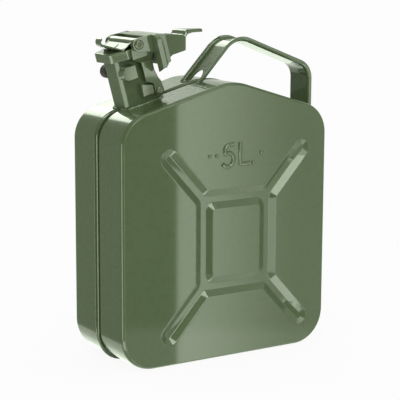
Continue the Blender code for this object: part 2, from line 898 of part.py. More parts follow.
def tail_outline():
    # The channel behind the cheeks, shallow at its end and deep at its root.
    start = lever_back - lever_sheet / 2
    top = lever_top - lever_back_fall - tail_start_fall
    end_top = pin_height - tail_end_fall
    end_x = tail_end - tail_height * math.sin(tail_lean)
    end_z = end_top - tail_height * math.cos(tail_lean)
    throat_x = end_x - tail_low_run
    bend_x = throat_x - tail_throat_run
    bend_z = end_z - tail_throat_drop / 2
    return [(start, top), (start, end_z - tail_throat_drop), (bend_x, bend_z),
            (throat_x, end_z), (end_x, end_z), (tail_end, end_top)]


def tail_hollow():
    outline = tail_outline()
    start = outline[0]
    end = outline[-1]
    return [(start[0] + lever_sheet / 2, start[1] - lever_sheet), (start[0] + lever_sheet / 2, 0),
            (outline[-2][0] - lever_sheet, 0), (outline[-2][0] - lever_sheet, outline[-2][1]),
            (end[0] - lever_sheet, end[1] - lever_sheet)]


def lever_tab():
    root_x = tail_end - lever_sheet
    root_z = pin_height - tail_end_fall - lever_sheet
    fold_x = tail_end + lever_sheet * tab_fold_share
    fold_z = pin_height - tail_end_fall + tab_rise
    along = Vector((math.cos(tab_fall), -math.sin(tab_fall)))
    path = [Vector((root_x, root_z)), Vector((fold_x, fold_z))]
    halves = [tail_half - play, tail_half - play]
    for length_share, width_share in zip(tab_length_shares, tab_width_shares):
        path.append(Vector((fold_x, fold_z)) + along * tab_length * length_share)
        halves.append(tab_end_half + (tail_half - play - tab_end_half) * width_share)
    return sheet_strip("lever_tab", path, halves, lever_sheet)


def wing(side):
    # An outward wing behind the stirrup arm, with a lip turned back along its edge.
    root = cheek_side + lever_sheet / 2
    edge = lever_side + wing_reach
    low = pin_height - wing_drop
    high = lever_top - lever_sheet
    outline = [Vector((root, low - wing_slant)), Vector((edge, low))]
    outline += arc_points((edge - wing_corner, high - wing_corner), wing_corner, 0, math.pi / 2,
                          small_steps)
    outline += [Vector((root, high))]
    inner = [Vector((root - overrun, low - overrun)), Vector((edge - lever_sheet, low - overrun))]
    inner += arc_points((edge - wing_corner, high - wing_corner), wing_corner - lever_sheet, 0,
                        math.pi / 2, small_steps)
    inner += [Vector((root - overrun, high - lever_sheet))]
    turned_outline = [(point.x, point.y) for point in outline]
    turned_inner = [(point.x, point.y) for point in inner]
    plates = []
    for label, points, start, end in (("wing", turned_outline, cheek_front, cheek_front + wing_lip),
                                      ("wing_hollow", turned_inner, cheek_front + lever_sheet,
                                       cheek_front + wing_lip + overrun)):
        item = prism(label + ("_front" if side < 0 else "_rear"), points, start, end)
        for vertex in item.data.vertices:
            vertex.co = Vector((vertex.co.y, side * vertex.co.x, vertex.co.z))
        if side > 0:
            item.data.flip_normals()
        plates.append(as_cutter(hang(item, pin_pivot)))
    add_boolean(plates[0], plates[1], "DIFFERENCE")
    return plates[0]


def closure_lever():
    item = prism("closure_lever", lever_outline(), -lever_side, lever_side)
    hollow = as_cutter(hang(prism("lever_hollow", lever_hollow(), -cheek_side, cheek_side),
                            pin_pivot))
    add_boolean(item, hollow, "DIFFERENCE")
    tail = as_cutter(hang(prism("lever_tail", tail_outline(), -tail_half, tail_half), pin_pivot))
    trough = as_cutter(hang(prism("tail_hollow", tail_hollow(), lever_sheet - tail_half,
                                  tail_half - lever_sheet), pin_pivot))
    add_boolean(tail, trough, "DIFFERENCE")
    add_boolean(item, tail, "UNION")
    add_boolean(item, as_cutter(hang(lever_tab(), pin_pivot)), "UNION")
    for side in (-1, 1):
        add_boolean(item, wing(side), "UNION")
    reach = lever_side + overrun
    bore = as_cutter(hang(cross_cylinder("ear_bore", pin_radius + play, -reach, reach, pin_place),
                          pin_pivot))
    add_boolean(item, bore, "DIFFERENCE")
    hang(item, pin_pivot)
    return finish(item, fitting_paint)


closure_lever()


# Strap handle

def strap_path():
    # The outer edge of the flanges, from the foot on the slope to the foot on the side.
    left = Vector((strap_left_x, peak_height + strap_bend_rise))
    right_x = half_width + seat_gap + strap_height
    right = Vector((right_x, left.y - (right_x - left.x) * math.tan(strap_top_slope)))
    down = Vector((-math.cos(strap_left_slope), -math.sin(strap_left_slope)))
    foot = left + down * (left.y - shoulder_height)
    corners = [foot, left, right, Vector((right_x, strap_foot_height))]
    path = [foot]
    for index, radius in ((1, strap_left_bend), (2, strap_right_bend)):
        here = corners[index]
        before = (corners[index - 1] - here).normalized()
        after = (corners[index + 1] - here).normalized()
        half_angle = before.angle(after) / 2
        centre = here + (before + after).normalized() * radius / math.sin(half_angle)
        first = here + before * radius / math.tan(half_angle) - centre
        last = here + after * radius / math.tan(half_angle) - centre
        start = math.atan2(first.y, first.x)
        turn = (math.atan2(last.y, last.x) - start + math.pi) % (2 * math.pi) - math.pi
        path += arc_points(centre, radius, start, start + turn, corner_steps)
    path += [Vector((right_x, strap_foot_height + strap_foot_cut)), corners[3]]
    return path


def carry_handle():
    # A channel swept along the path: flange edges outside, web on the hand's side.
    path = strap_path()
    depth = strap_height - strap_sheet / 2
    half = strap_half - strap_sheet / 2
    mesh = bmesh.new()
    rows = []
    for index, point in enumerate(path):
        before = path[max(index - 1, 0)]
        after = path[min(index + 1, len(path) - 1)]
        along = (after - before).normalized()
        inward = Vector((along.y, -along.x))
        web = point + inward * depth
        edge = point
        if index == len(path) - 1:
            edge = point + inward * depth * strap_foot_lift_share
        rows.append([mesh.verts.new((edge.x, -half, edge.y)), mesh.verts.new((web.x, -half, web.y)),
                     mesh.verts.new((web.x, half, web.y)), mesh.verts.new((edge.x, half, edge.y))])
    for first, second in zip(rows, rows[1:]):
        for column in range(3):
            mesh.faces.new((first[column], first[column + 1], second[column + 1], second[column]))
    item = mesh_object("carry_handle", mesh)
    sheet = item.modifiers.new("sheet", "SOLIDIFY")
    sheet.thickness = strap_sheet
    sheet.offset = 0
    sheet.use_even_offset = True
    trim_limit = peak_shift + strap_left_x
    trim_rise = (trim_limit + half_width) * math.tan(left_slope)
    slope_line = [(-half_width, -body_width), (trim_limit, -body_width),
                  (trim_limit, shoulder_height + trim_rise + seat_gap),
                  (-half_width, shoulder_height + seat_gap)]
    trim = as_cutter(prism("slope_trim", slope_line, -half_depth, half_depth))
    add_boolean(item, trim, "DIFFERENCE")
    foot_x = (path[0].x + path[1].x) / 2
    foot_top = peak_height + notch_height - recess_depth
    arch = arc_points((0, foot_top - notch_half), notch_half, 0, math.pi, corner_steps)
    arch += [Vector((-notch_half, shoulder_height)), Vector((notch_half, shoulder_height))]
    notch = prism("strap_notch", arch, foot_x - overrun, foot_x + overrun)
    for vertex in notch.data.vertices:
        vertex.co = Vector((vertex.co.y, vertex.co.x, vertex.co.z))
    notch.data.flip_normals()
    add_boolean(item, as_cutter(notch), "DIFFERENCE")
    return finish(item, body_paint)


carry_handle()


# The origin lies under the middle of the whole can

for item in (*parts.objects, *cutters.objects):
    if item.parent is None and item is not can_frame:
        item.parent = can_frame
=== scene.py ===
import random
from math import atan2, ceil, copysign, cos, degrees, pi, radians, sin, sqrt, tan

import bmesh
import bpy
from mathutils import Vector, Matrix
from mathutils.geometry import delaunay_2d_cdt


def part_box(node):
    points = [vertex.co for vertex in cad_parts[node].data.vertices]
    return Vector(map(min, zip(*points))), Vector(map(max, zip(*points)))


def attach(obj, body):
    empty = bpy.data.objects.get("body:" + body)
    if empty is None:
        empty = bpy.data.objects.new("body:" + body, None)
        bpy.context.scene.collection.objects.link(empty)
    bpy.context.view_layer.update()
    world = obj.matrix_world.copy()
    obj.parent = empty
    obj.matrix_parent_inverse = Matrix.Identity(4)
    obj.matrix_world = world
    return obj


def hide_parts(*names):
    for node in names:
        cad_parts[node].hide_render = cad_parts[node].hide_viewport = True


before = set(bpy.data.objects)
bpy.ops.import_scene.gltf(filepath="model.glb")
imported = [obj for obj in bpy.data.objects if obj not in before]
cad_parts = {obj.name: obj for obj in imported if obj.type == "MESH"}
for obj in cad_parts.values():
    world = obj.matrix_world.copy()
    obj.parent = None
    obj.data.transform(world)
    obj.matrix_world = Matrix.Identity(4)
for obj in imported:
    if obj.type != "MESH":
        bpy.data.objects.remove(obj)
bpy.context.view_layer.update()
mm = 0.001


def inMetres(sizes):
    return {name: value * mm for name, value in sizes.items()}


# points nearer than this count as one; faces within this many degrees count as one flat
near = inMetres({"solid": 0.002, "skin": 0.001, "plane": 0.0001})
flatWithin = {"plain": 1.2, "bent": 0.3}


# plane outlines

def clamp(value):
    return max(0.0, min(1.0, value))


def arcPoints(centre, radius, start, end, count):
    turns = [start + (end - start) * step / count for step in range(count + 1)]
    return [Vector((centre[0] + radius * cos(turn), centre[1] + radius * sin(turn)))
            for turn in turns]


def roundCorner(before, here, after, radius, count):
    here = Vector(here)
    first = (Vector(before) - here).normalized()
    second = (Vector(after) - here).normalized()
    half = first.angle(second) / 2
    centre = here + (first + second).normalized() * radius / sin(half)
    begin = here + first * radius / tan(half) - centre
    end = here + second * radius / tan(half) - centre
    start = atan2(begin.y, begin.x)
    turn = (atan2(end.y, end.x) - start + pi) % (2 * pi) - pi
    return arcPoints(centre, radius, start, start + turn, count)


def roundedOutline(corners, radii, count):
    points = []
    for index, corner in enumerate(corners):
        points += roundCorner(corners[index - 1], corner, corners[(index + 1) % len(corners)],
                              radii[index], count)
    return points


def roundedPath(corners, radii, count):
    # an open line; the radii belong to the corners between its two ends
    points = [Vector(corners[0])]
    for index, radius in enumerate(radii, 1):
        points += roundCorner(corners[index - 1], corners[index], corners[index + 1], radius, count)
    return points + [Vector(corners[-1])]


def rectangleCorners(halfX, halfY, middle=0):
    return [(middle - halfX, -halfY), (middle + halfX, -halfY), (middle + halfX, halfY),
            (middle - halfX, halfY)]


def insetCorners(corners, inset):
    moved = []
    for index, corner in enumerate(corners):
        here = Vector(corner)
        first = (here - Vector(corners[index - 1])).normalized()
        second = (Vector(corners[(index + 1) % len(corners)]) - here).normalized()
        normalA = Vector((-first.y, first.x))
        normalB = Vector((-second.y, second.x))
        moved.append(here + (normalA + normalB) / (1 + normalA.dot(normalB)) * inset)
    return moved


# mesh helpers

def newObject(name, data):
    piece = bpy.data.objects.new(name, data)
    bpy.context.scene.collection.objects.link(piece)
    return piece


def fromBmesh(name, mesh):
    data = bpy.data.meshes.new(name)
    mesh.to_mesh(data)
    mesh.free()
    return newObject(name, data)


def bake(piece):
    # turns the modifiers into plain mesh, so that no helper object is needed later
    bpy.context.view_layer.update()
    graph = bpy.context.evaluated_depsgraph_get()
    data = bpy.data.meshes.new_from_object(piece.evaluated_get(graph), depsgraph=graph)
    piece.modifiers.clear()
    piece.data = data
    return piece


def cutWith(piece, cutter):
    change = piece.modifiers.new(cutter.name, "BOOLEAN")
    change.operation = "DIFFERENCE"
    change.object = cutter
    change.solver = "EXACT"
    bake(piece)
    bpy.data.objects.remove(cutter, do_unlink=True)


def evenShade(piece, sharpAngle):
    piece.data.shade_smooth()
    piece.data.set_sharp_from_angle(angle=radians(sharpAngle))
    even = piece.modifiers.new("evenNormals", "WEIGHTED_NORMAL")
    even.weight = 80
    even.keep_sharp = True
    return bake(piece)


def softEdges(piece, width, segments=3, angle=32):
    edge = piece.modifiers.new("softEdge", "BEVEL")
    edge.width = width
    edge.segments = segments
    edge.limit_method = "ANGLE"
    edge.angle_limit = radians(angle)
    edge.use_clamp_overlap = True
    bake(piece)
    return evenShade(piece, sharpAngle=60)


def facesOut(mesh):
    bmesh.ops.recalc_face_normals(mesh, faces=mesh.faces)


def ringsAt(mesh, outline, levels):
    return [[mesh.verts.new((point.x, point.y, level)) for point in outline] for level in levels]


def joinRings(mesh, rings, closed=True):
    for lower, upper in zip(rings, rings[1:]):
        count = len(lower) if closed else len(lower) - 1
        for index in range(count):
            following = (index + 1) % len(lower)
            mesh.faces.new((lower[index], lower[following], upper[following], upper[index]))


def thicken(piece, thickness, offset, even=True):
    wall = piece.modifiers.new("sheet", "SOLIDIFY")
    wall.thickness = thickness
    wall.offset = offset
    wall.use_even_offset = even
    return bake(piece)


def blockAlongY(name, outline, low, high):
    mesh = bmesh.new()
    rings = [[mesh.verts.new((point[0], level, point[1])) for point in outline]
             for level in (low, high)]
    joinRings(mesh, rings)
    mesh.faces.new(rings[0])
    mesh.faces.new(rings[1][::-1])
    facesOut(mesh)
    return fromBmesh(name, mesh)


def alongAt(line, index):
    # the direction of an open line at one of its points
    return (line[min(index + 1, len(line) - 1)] - line[max(index - 1, 0)]).normalized()


def ringAt(mesh, centre, side, up, radius, count):
    turns = [2 * pi * step / count for step in range(count)]
    return [mesh.verts.new(centre + (side * cos(turn) + up * sin(turn)) * radius)
            for turn in turns]


def tubeAlong(mesh, centres, radii, across, count):
    # a round bar along a closed line; across holds the outward direction at each point
    rings = []
    for index, centre in enumerate(centres):
        along = (centres[(index + 1) % len(centres)] - centres[index - 1]).normalized()
        side = across[index].normalized()
        up = along.cross(side).normalized()
        rings.append(ringAt(mesh, centre, side, up, radii[index], count))
    joinRings(mesh, rings + [rings[0]])
    facesOut(mesh)


def cadMesh(node):
    mesh = bmesh.new()
    mesh.from_mesh(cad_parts[node].data)
    bmesh.ops.remove_doubles(mesh, verts=mesh.verts, dist=near["solid"])
    return mesh


def joinFlats(mesh, angle):
    bmesh.ops.dissolve_limit(mesh, angle_limit=radians(angle), verts=mesh.verts,
                             edges=mesh.edges)


def reshape(mesh, shape):
    for vertex in mesh.verts:
        vertex.co = shape(vertex.co)


def fromCad(node, name, width, shape):
    # the CAD solid again, bent a little, with its flat faces joined and its edges rounded
    mesh = cadMesh(node)
    if shape:
        mesh.transform(neckMatrix.inverted())
        reshape(mesh, shape)
        mesh.transform(neckMatrix)
    joinFlats(mesh, flatWithin["bent" if shape else "plain"])
    piece = softEdges(fromBmesh(name, mesh), width)
    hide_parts(node)
    return piece


def paint(piece, finish):
    piece.data.materials.clear()
    piece.data.materials.append(finishes[finish])


def place(piece, body, finish):
    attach(piece, body)
    paint(piece, finish)
    return piece


def onCan(piece):
    place(piece, "can", "glossOlive")


def onLever(piece):
    place(piece, "lever", "satinOlive")


# node helpers

def addNode(tree, kind, settings=None, values=None):
    node = tree.nodes.new(kind)
    for name, value in (settings or {}).items():
        setattr(node, name, value)
    for name, value in (values or {}).items():
        node.inputs[name].default_value = value
    return node


def calculate(tree, operation, first, second=None):
    node = addNode(tree, "ShaderNodeMath", {"operation": operation})
    for socket, value in zip(node.inputs, (first, second)):
        if isinstance(value, bpy.types.NodeSocket):
            tree.links.new(value, socket)
        elif value is not None:
            socket.default_value = value
    return node.outputs[0]


def ramp(tree, value, low, high, start=0.0, end=1.0):
    node = addNode(tree, "ShaderNodeMapRange", {"interpolation_type": "SMOOTHSTEP"},
                   {"From Min": low, "From Max": high, "To Min": start, "To Max": end})
    tree.links.new(value, node.inputs["Value"])
    return node.outputs["Result"]


def newGroup(name, inputs, outputs):
    group = bpy.data.node_groups.new(name, "ShaderNodeTree")
    for label, value in inputs.items():
        socket = group.interface.new_socket(label, in_out="INPUT", socket_type="NodeSocketFloat")
        socket.default_value = value
    for label in outputs:
        group.interface.new_socket(label, in_out="OUTPUT", socket_type="NodeSocketFloat")
    return group, group.nodes.new("NodeGroupInput"), group.nodes.new("NodeGroupOutput")


surfaceSockets = {"Drift Scale": 14.0, "Grain Scale": 160.0, "Peel Scale": 700.0}
rubSockets = {"Radius": 0.0008, "Gain": 4.0, "Break Scale": 260.0}
noiseBand = {"surface": (0.3, 0.7), "rub": (0.42, 0.6)}
peelDepth = 0.2 * mm


def objectNoise(tree, values):
    where = tree.nodes.new("ShaderNodeTexCoord")
    noise = addNode(tree, "ShaderNodeTexNoise", None, values)
    tree.links.new(where.outputs["Object"], noise.inputs["Vector"])
    return noise


def surfaceGroup():
    # broad colour drift, finer grain, and the orange peel of sprayed paint
    group, entry, out = newGroup("sprayedSurface", surfaceSockets, ("Drift", "Grain", "Peel"))
    for label, detail in (("Drift", 3.0), ("Grain", 4.0), ("Peel", 1.0)):
        noise = objectNoise(group, {"Detail": detail, "Roughness": 0.5})
        group.links.new(entry.outputs[label + " Scale"], noise.inputs["Scale"])
        group.links.new(ramp(group, noise.outputs["Fac"], *noiseBand["surface"]),
                        out.inputs[label])
    return group


def edgeGroup():
    # 1 along rounded edges, broken up by a fine noise; the lighter edge colour it brings is partly
    # wear and partly a painted highlight
    group, entry, out = newGroup("edgeRubAndSheen", rubSockets, ("Mask",))
    bevel = addNode(group, "ShaderNodeBevel", {"samples": 4})
    group.links.new(entry.outputs["Radius"], bevel.inputs["Radius"])
    plain = group.nodes.new("ShaderNodeNewGeometry")
    product = addNode(group, "ShaderNodeVectorMath", {"operation": "DOT_PRODUCT"})
    group.links.new(bevel.outputs["Normal"], product.inputs[0])
    group.links.new(plain.outputs["Normal"], product.inputs[1])
    turned = calculate(group, "SUBTRACT", 1.0, product.outputs["Value"])
    strong = calculate(group, "MULTIPLY", turned, entry.outputs["Gain"])
    noise = objectNoise(group, {"Detail": 5.0, "Roughness": 0.6})
    group.links.new(entry.outputs["Break Scale"], noise.inputs["Scale"])
    broken = calculate(group, "MULTIPLY", strong,
                       ramp(group, noise.outputs["Fac"], *noiseBand["rub"]))
    group.links.new(ramp(group, broken, 0.0, 1.0), out.inputs["Mask"])
    return group


def mixColour(tree, factor, first, second):
    node = addNode(tree, "ShaderNodeMix", {"data_type": "RGBA"})
    tree.links.new(factor, node.inputs["Factor"])
    for socket, value in ((node.inputs["A"], first), (node.inputs["B"], second)):
        if isinstance(value, bpy.types.NodeSocket):
            tree.links.new(value, socket)
        else:
            socket.default_value = (*value, 1.0)
    return node.outputs["Result"]


sprayedSurface = surfaceGroup()
edgeRubAndSheen = edgeGroup()


def finishMaterial(name, look):
    material = bpy.data.materials.new(name)
    material.use_nodes = True
    tree = material.node_tree
    shader = tree.nodes["Principled BSDF"]
    for socket, value in look["plain"].items():
        shader.inputs[socket].default_value = value
    surface = addNode(tree, "ShaderNodeGroup", {"node_tree": sprayedSurface},
                      dict(zip(surfaceSockets, look["surface"])))
    rub = addNode(tree, "ShaderNodeGroup", {"node_tree": edgeRubAndSheen},
                  dict(zip(rubSockets, look["rub"])))
    colour = mixColour(tree, surface.outputs["Drift"], look["colour"], look["drift"])
    # lighter rounded edges: partly wear, partly a painted highlight
    wornAndSheen = mixColour(tree, calculate(tree, "MULTIPLY", rub.outputs["Mask"], look["rubAndSheenAmount"]),
                     colour, look["edge"])
    tree.links.new(wornAndSheen, shader.inputs["Base Color"])
    tree.links.new(ramp(tree, surface.outputs["Grain"], 0.0, 1.0, *look["roughness"]),
                   shader.inputs["Roughness"])
    bump = addNode(tree, "ShaderNodeBump", None, {"Strength": look["bump"], "Distance": peelDepth})
    tree.links.new(surface.outputs["Peel"], bump.inputs["Height"])
    tree.links.new(bump.outputs["Normal"], shader.inputs["Normal"])
    return material


# surface and rub hold the values for the sockets named above
looks = {
    "glossOlive": {
        "colour": (0.080, 0.123, 0.048), "drift": (0.084, 0.127, 0.051),
        "edge": (0.13, 0.17, 0.105), "roughness": (0.26, 0.33), "bump": 0.035, "rubAndSheenAmount": 0.25,
        "surface": (9.0, 120.0, 600.0), "rub": (0.0009, 4.0, 220.0),
        "plain": {"Coat Weight": 1.0, "Coat Roughness": 0.03, "Coat IOR": 1.5,
                  "Specular IOR Level": 0.1}},
    "satinOlive": {
        "colour": (0.083, 0.122, 0.052), "drift": (0.091, 0.131, 0.059), "edge": (0.16, 0.19, 0.13),
        "roughness": (0.30, 0.42), "bump": 0.12, "rubAndSheenAmount": 0.4,
        "surface": (22.0, 240.0, 900.0), "rub": (0.0006, 4.0, 380.0),
        "plain": {"Coat Weight": 0.9, "Coat Roughness": 0.06, "Coat IOR": 1.64,
                  "Specular IOR Level": 0.15}},
    "rubbedPin": {
        "colour": (0.075, 0.100, 0.050), "drift": (0.095, 0.120, 0.068), "edge": (0.22, 0.24, 0.19),
        "roughness": (0.25, 0.40), "bump": 0.15, "rubAndSheenAmount": 0.6,
        "surface": (60.0, 500.0, 1500.0), "rub": (0.0005, 5.0, 700.0),
        "plain": {"Metallic": 0.3, "Coat Weight": 0.3, "Coat Roughness": 0.2}},
    # painted shade: a dark brown for the lug faces that lie in shade
    "paintedLugShade": {
        "colour": (0.045, 0.040, 0.030), "drift": (0.060, 0.050, 0.036), "edge": (0.09, 0.08, 0.06),
        "roughness": (0.5, 0.7), "bump": 0.3, "rubAndSheenAmount": 0.4,
        "surface": (80.0, 500.0, 1600.0), "rub": (0.0005, 3.0, 600.0),
        "plain": {"Specular IOR Level": 0.3}},
    "mattRubber": {
        "colour": (0.018, 0.018, 0.017), "drift": (0.026, 0.026, 0.025),
        "edge": (0.05, 0.05, 0.048), "roughness": (0.62, 0.8), "bump": 0.3, "rubAndSheenAmount": 0.3,
        "surface": (50.0, 400.0, 2200.0), "rub": (0.0005, 3.0, 500.0),
        "plain": {}},
    "drawnTube": {
        "colour": (0.42, 0.41, 0.38), "drift": (0.34, 0.33, 0.30), "edge": (0.5, 0.49, 0.46),
        "roughness": (0.28, 0.45), "bump": 0.15, "rubAndSheenAmount": 0.3,
        "surface": (70.0, 600.0, 1600.0), "rub": (0.0004, 3.0, 500.0),
        "plain": {"Metallic": 0.9}},
}
finishes = {name: finishMaterial(name, look) for name, look in looks.items()}
print("finishes ready")


# can body: two pressed half shells

can = inMetres({
    "width": 232, "depth": 97, "shoulder": 236.5, "peakRise": 33.5, "peakShift": 6,
    "baseCorner": 33.4, "shoulderCorner": 31.3, "peakBlend": 58.6, "faceFillet": 5,
    "faceTight": 0.8, "sheet": 0.8, "seamGap": 0.3, "recessDepth": 3, "recessReach": 4.4,
    "frontReach": 2.6, "recessWall": 1.4, "flangeCorner": 26, "flangeBend": 0.6,
    "recessBend": 0.9, "wallBend": 1.5, "guard": 0.6, "beadInset": 0.7, "beadRadius": 1.25,
    "beadEdge": 0.15})
faceTurn = radians(55)  # of the wide bend at the edge of the face
pattern = inMetres({
    "leftMargin": 51, "rightMargin": 31, "lowMargin": 30.1, "highMargin": 37,
    "frameHalfWidth": 36.5, "frameHalfHeight": 42.7, "channelHalf": 9.5, "floorHalf": 2.9,
    "innerCorner": 3, "depth": 3.4, "lipBend": 1.8, "floorBend": 2.2, "leftFade": -3,
    "rightHighFade": 16, "rightLowFade": 24, "spacing": 5})
# how many straight parts each bend gets
steps = {"corner": 18, "bend": 4, "fillet": 8, "profile": 4, "tip": 12, "bead": 6, "weldLine": 12,
         "weld": 10, "neck": 8, "strap": 22, "channel": 5, "notch": 20, "tab": 8, "roll": 12,
         "ring": 16}

shift = (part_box("front_shell")[0][0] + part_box("front_shell")[1][0]) / 2
halfWidth = can["width"] / 2
halfDepth = can["depth"] / 2
slope = atan2(can["peakRise"], halfWidth + can["peakShift"])
patternX = shift + (pattern["leftMargin"] - pattern["rightMargin"]) / 2
patternZ = (pattern["lowMargin"] + can["shoulder"] - pattern["highMargin"]) / 2
margin = (pattern["leftMargin"] + pattern["rightMargin"]) / 2
frameCorner = Vector((pattern["frameHalfWidth"], pattern["frameHalfHeight"]))
armLine = Vector((halfWidth - margin - pattern["frameHalfWidth"],
                  patternZ - pattern["lowMargin"] - pattern["frameHalfHeight"]))
flangeChange = can["baseCorner"] - can["flangeCorner"]


def canOutline(inset, change=0.0):
    corners = [(shift - halfWidth, 0), (shift + halfWidth, 0), (shift + halfWidth, can["shoulder"]),
               (shift + can["peakShift"], can["shoulder"] + can["peakRise"]),
               (shift - halfWidth, can["shoulder"])]
    radii = [can[name] - change - inset for name in
             ("baseCorner", "baseCorner", "shoulderCorner", "peakBlend", "shoulderCorner")]
    return roundedOutline(insetCorners(corners, inset), radii, steps["corner"])


def channelProfile():
    # reach from the middle of the channel, and depth, from the rim down to the floor
    fall = atan2(pattern["depth"], pattern["channelHalf"] - pattern["floorHalf"])
    rim = pattern["channelHalf"] + pattern["lipBend"] * tan(fall / 2)
    foot = pattern["floorHalf"] - pattern["floorBend"] * tan(fall / 2)
    turns = [fall * step / steps["profile"] for step in range(steps["profile"] + 1)]
    lip = [(rim - pattern["lipBend"] * sin(turn),
            pattern["lipBend"] * (1 - cos(turn))) for turn in turns]
    floor = [(foot + pattern["floorBend"] * sin(turn),
              pattern["depth"] - pattern["floorBend"] * (1 - cos(turn))) for turn in turns]
    return [(rim + can["guard"], 0.0)] + lip + floor[::-1]


def denser(loop, spacing):
    points = []
    for index, point in enumerate(loop):
        following = loop[(index + 1) % len(loop)]
        count = max(1, ceil((following - point).length / spacing))
        points += [point.lerp(following, step / count) for step in range(count)]
    return points


def outerLoop(reach):
    along = armLine.normalized()
    across = Vector((along.y, -along.x))
    start = atan2(across.y, across.x)
    low = frameCorner + across * reach + along * reach * (1 - across.x) / along.x
    high = frameCorner - across * reach + along * reach * (1 + across.y) / along.y
    turn = pattern["innerCorner"] + pattern["channelHalf"] - reach
    tip = arcPoints(frameCorner + armLine, reach, start, start + pi, steps["tip"])
    quarter = roundCorner((low.x, 0), low, tip[0], turn, steps["bend"]) + tip
    quarter += roundCorner(tip[-1], high, (0, high.y), turn, steps["bend"])
    loop = []
    for signX, signY in ((1, 1), (-1, 1), (-1, -1), (1, -1)):
        turned = [Vector((point.x * signX, point.y * signY)) for point in quarter]
        loop += turned[::-1] if signX * signY < 0 else turned
    return denser(loop, pattern["spacing"])


def innerLoop(reach):
    corners = rectangleCorners(pattern["frameHalfWidth"] - reach,
                               pattern["frameHalfHeight"] - reach)
    turn = pattern["innerCorner"] + pattern["channelHalf"] - reach
    loop = roundedOutline(corners, [turn] * len(corners), steps["bend"])
    return denser(loop, pattern["spacing"])


def armShare(point):
    # the pressing runs out towards the end of each arm, most softly on the right
    spot = Vector((abs(point.x) - pattern["frameHalfWidth"],
                   abs(point.y) - pattern["frameHalfHeight"]))
    left = armLine.length + pattern["channelHalf"] - spot.dot(armLine.normalized())
    rightFade = pattern["rightHighFade" if point.y > 0 else "rightLowFade"]
    fade = rightFade if point.x > 0 else pattern["leftFade"]
    share = clamp(left / (fade + pattern["channelHalf"]))
    return share * share * (3 - 2 * share)


def fillFace(mesh, border, level, inward):
    plane = [Vector((vertex.co.x, vertex.co.z)) for vertex in border]
    edges = [(index, (index + 1) % len(plane)) for index in range(len(plane))]
    owners = list(border)
    for loopOf in (outerLoop, innerLoop):
        for reach, depth in channelProfile():
            loop = loopOf(reach)
            first = len(plane)
            edges += [(first + index, first + (index + 1) % len(loop))
                      for index in range(len(loop))]
            for point in loop:
                fall = depth * armShare(point) * inward
                spot = Vector((point.x + patternX, point.y + patternZ))
                plane.append(spot)
                owners.append(mesh.verts.new((spot.x, level + fall, spot.y)))
    _, _, triangles, sources, *_ = delaunay_2d_cdt(plane, edges, [], 0, near["plane"])
    for triangle in triangles:
        mesh.faces.new([owners[sources[index][0]] for index in triangle])


def shellSkin(name, side, node):
    flange = can["seamGap"] / 2 + can["sheet"]
    recess = can["frontReach"] if side < 0 else can["recessReach"]
    reachEnd = recess + can["recessWall"]
    # the edge of the face turns in a wide bend, then in a tight one
    wide, tight = can["faceFillet"], can["faceTight"]
    start = halfDepth - tight - (wide - tight) * sin(faceTurn)
    section = roundedPath([(0, flange), (can["recessDepth"], flange),
                           (can["recessDepth"], recess), (0, reachEnd), (0, start)],
                          [can["flangeBend"], can["recessBend"], can["wallBend"]], steps["bend"])
    section += arcPoints((wide, start), wide, pi, pi - faceTurn, steps["fillet"])
    last = Vector((wide - (wide - tight) * cos(faceTurn), halfDepth - tight))
    section += arcPoints(last, tight, pi - faceTurn, pi / 2, steps["fillet"])[1:]
    section.append(Vector((last.x + can["guard"], halfDepth)))
    mesh = bmesh.new()
    rings = []
    for inset, reach in section:
        # the flange has its own, smaller corners
        inFlange = reach < flange + can["flangeBend"]
        share = max(0.0, 1 - inset / can["recessDepth"]) if inFlange else 0.0
        rings.append([mesh.verts.new((point.x, side * reach, point.y))
                      for point in canOutline(inset, flangeChange * share)])
    joinRings(mesh, rings)
    fillFace(mesh, rings[-1], side * halfDepth, -side)
    bmesh.ops.remove_doubles(mesh, verts=mesh.verts, dist=near["skin"])
    facesOut(mesh)
    widest = max(mesh.faces, key=lambda face: abs(face.calc_center_median().y))
    if widest.normal.y * side < 0:
        bmesh.ops.reverse_faces(mesh, faces=mesh.faces)
    skin = thicken(fromBmesh(name, mesh), can["sheet"], -1)
    hole = roundedOutline(rectangleCorners(neck["half"] + neck["gap"], neck["side"] + neck["gap"],
                                           -neck["shift"]),
                          [neck["corner"] + neck["gap"]] * 4, steps["fillet"])
    drill = bmesh.new()
    ends = ringsAt(drill, hole, (-neck["drill"], neck["drill"]))
    joinRings(drill, ends)
    for ring in ends:
        drill.faces.new(ring)
    facesOut(drill)
    drill.transform(neckMatrix)
    cutWith(skin, fromBmesh("neckDrill", drill))
    evenShade(skin, sharpAngle=34)
    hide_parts(node)
    onCan(skin)


neck = inMetres({
    "seat": 70.1, "half": 19.9, "side": 13, "shift": 1.4, "flatX": 3.0, "flatY": 2.5,
    "softBend": 2.6, "tightBend": 0.8, "corner": 5.5, "sheet": 1.2, "top": 50.4, "root": 6,
    "gap": 0.3, "drill": 20, "lip": 0.5, "weldRadius": 1.25, "weldRipple": 0.22, "weldLow": 0.2,
    "weldSpacing": 1})
weldLook = {"seed": 5, "wave": 1.9, "sink": 0.8}
neckMatrix = (Matrix.Translation((shift - neck["seat"], 0,
                                  can["shoulder"] + (halfWidth - neck["seat"]) * tan(slope)))
              @ Matrix.Rotation(-slope, 4, "Y"))

shellSkin("shellFrontSkin", -1, "front_shell")
shellSkin("shellRearSkin", 1, "rear_shell")
print("half shells pressed")


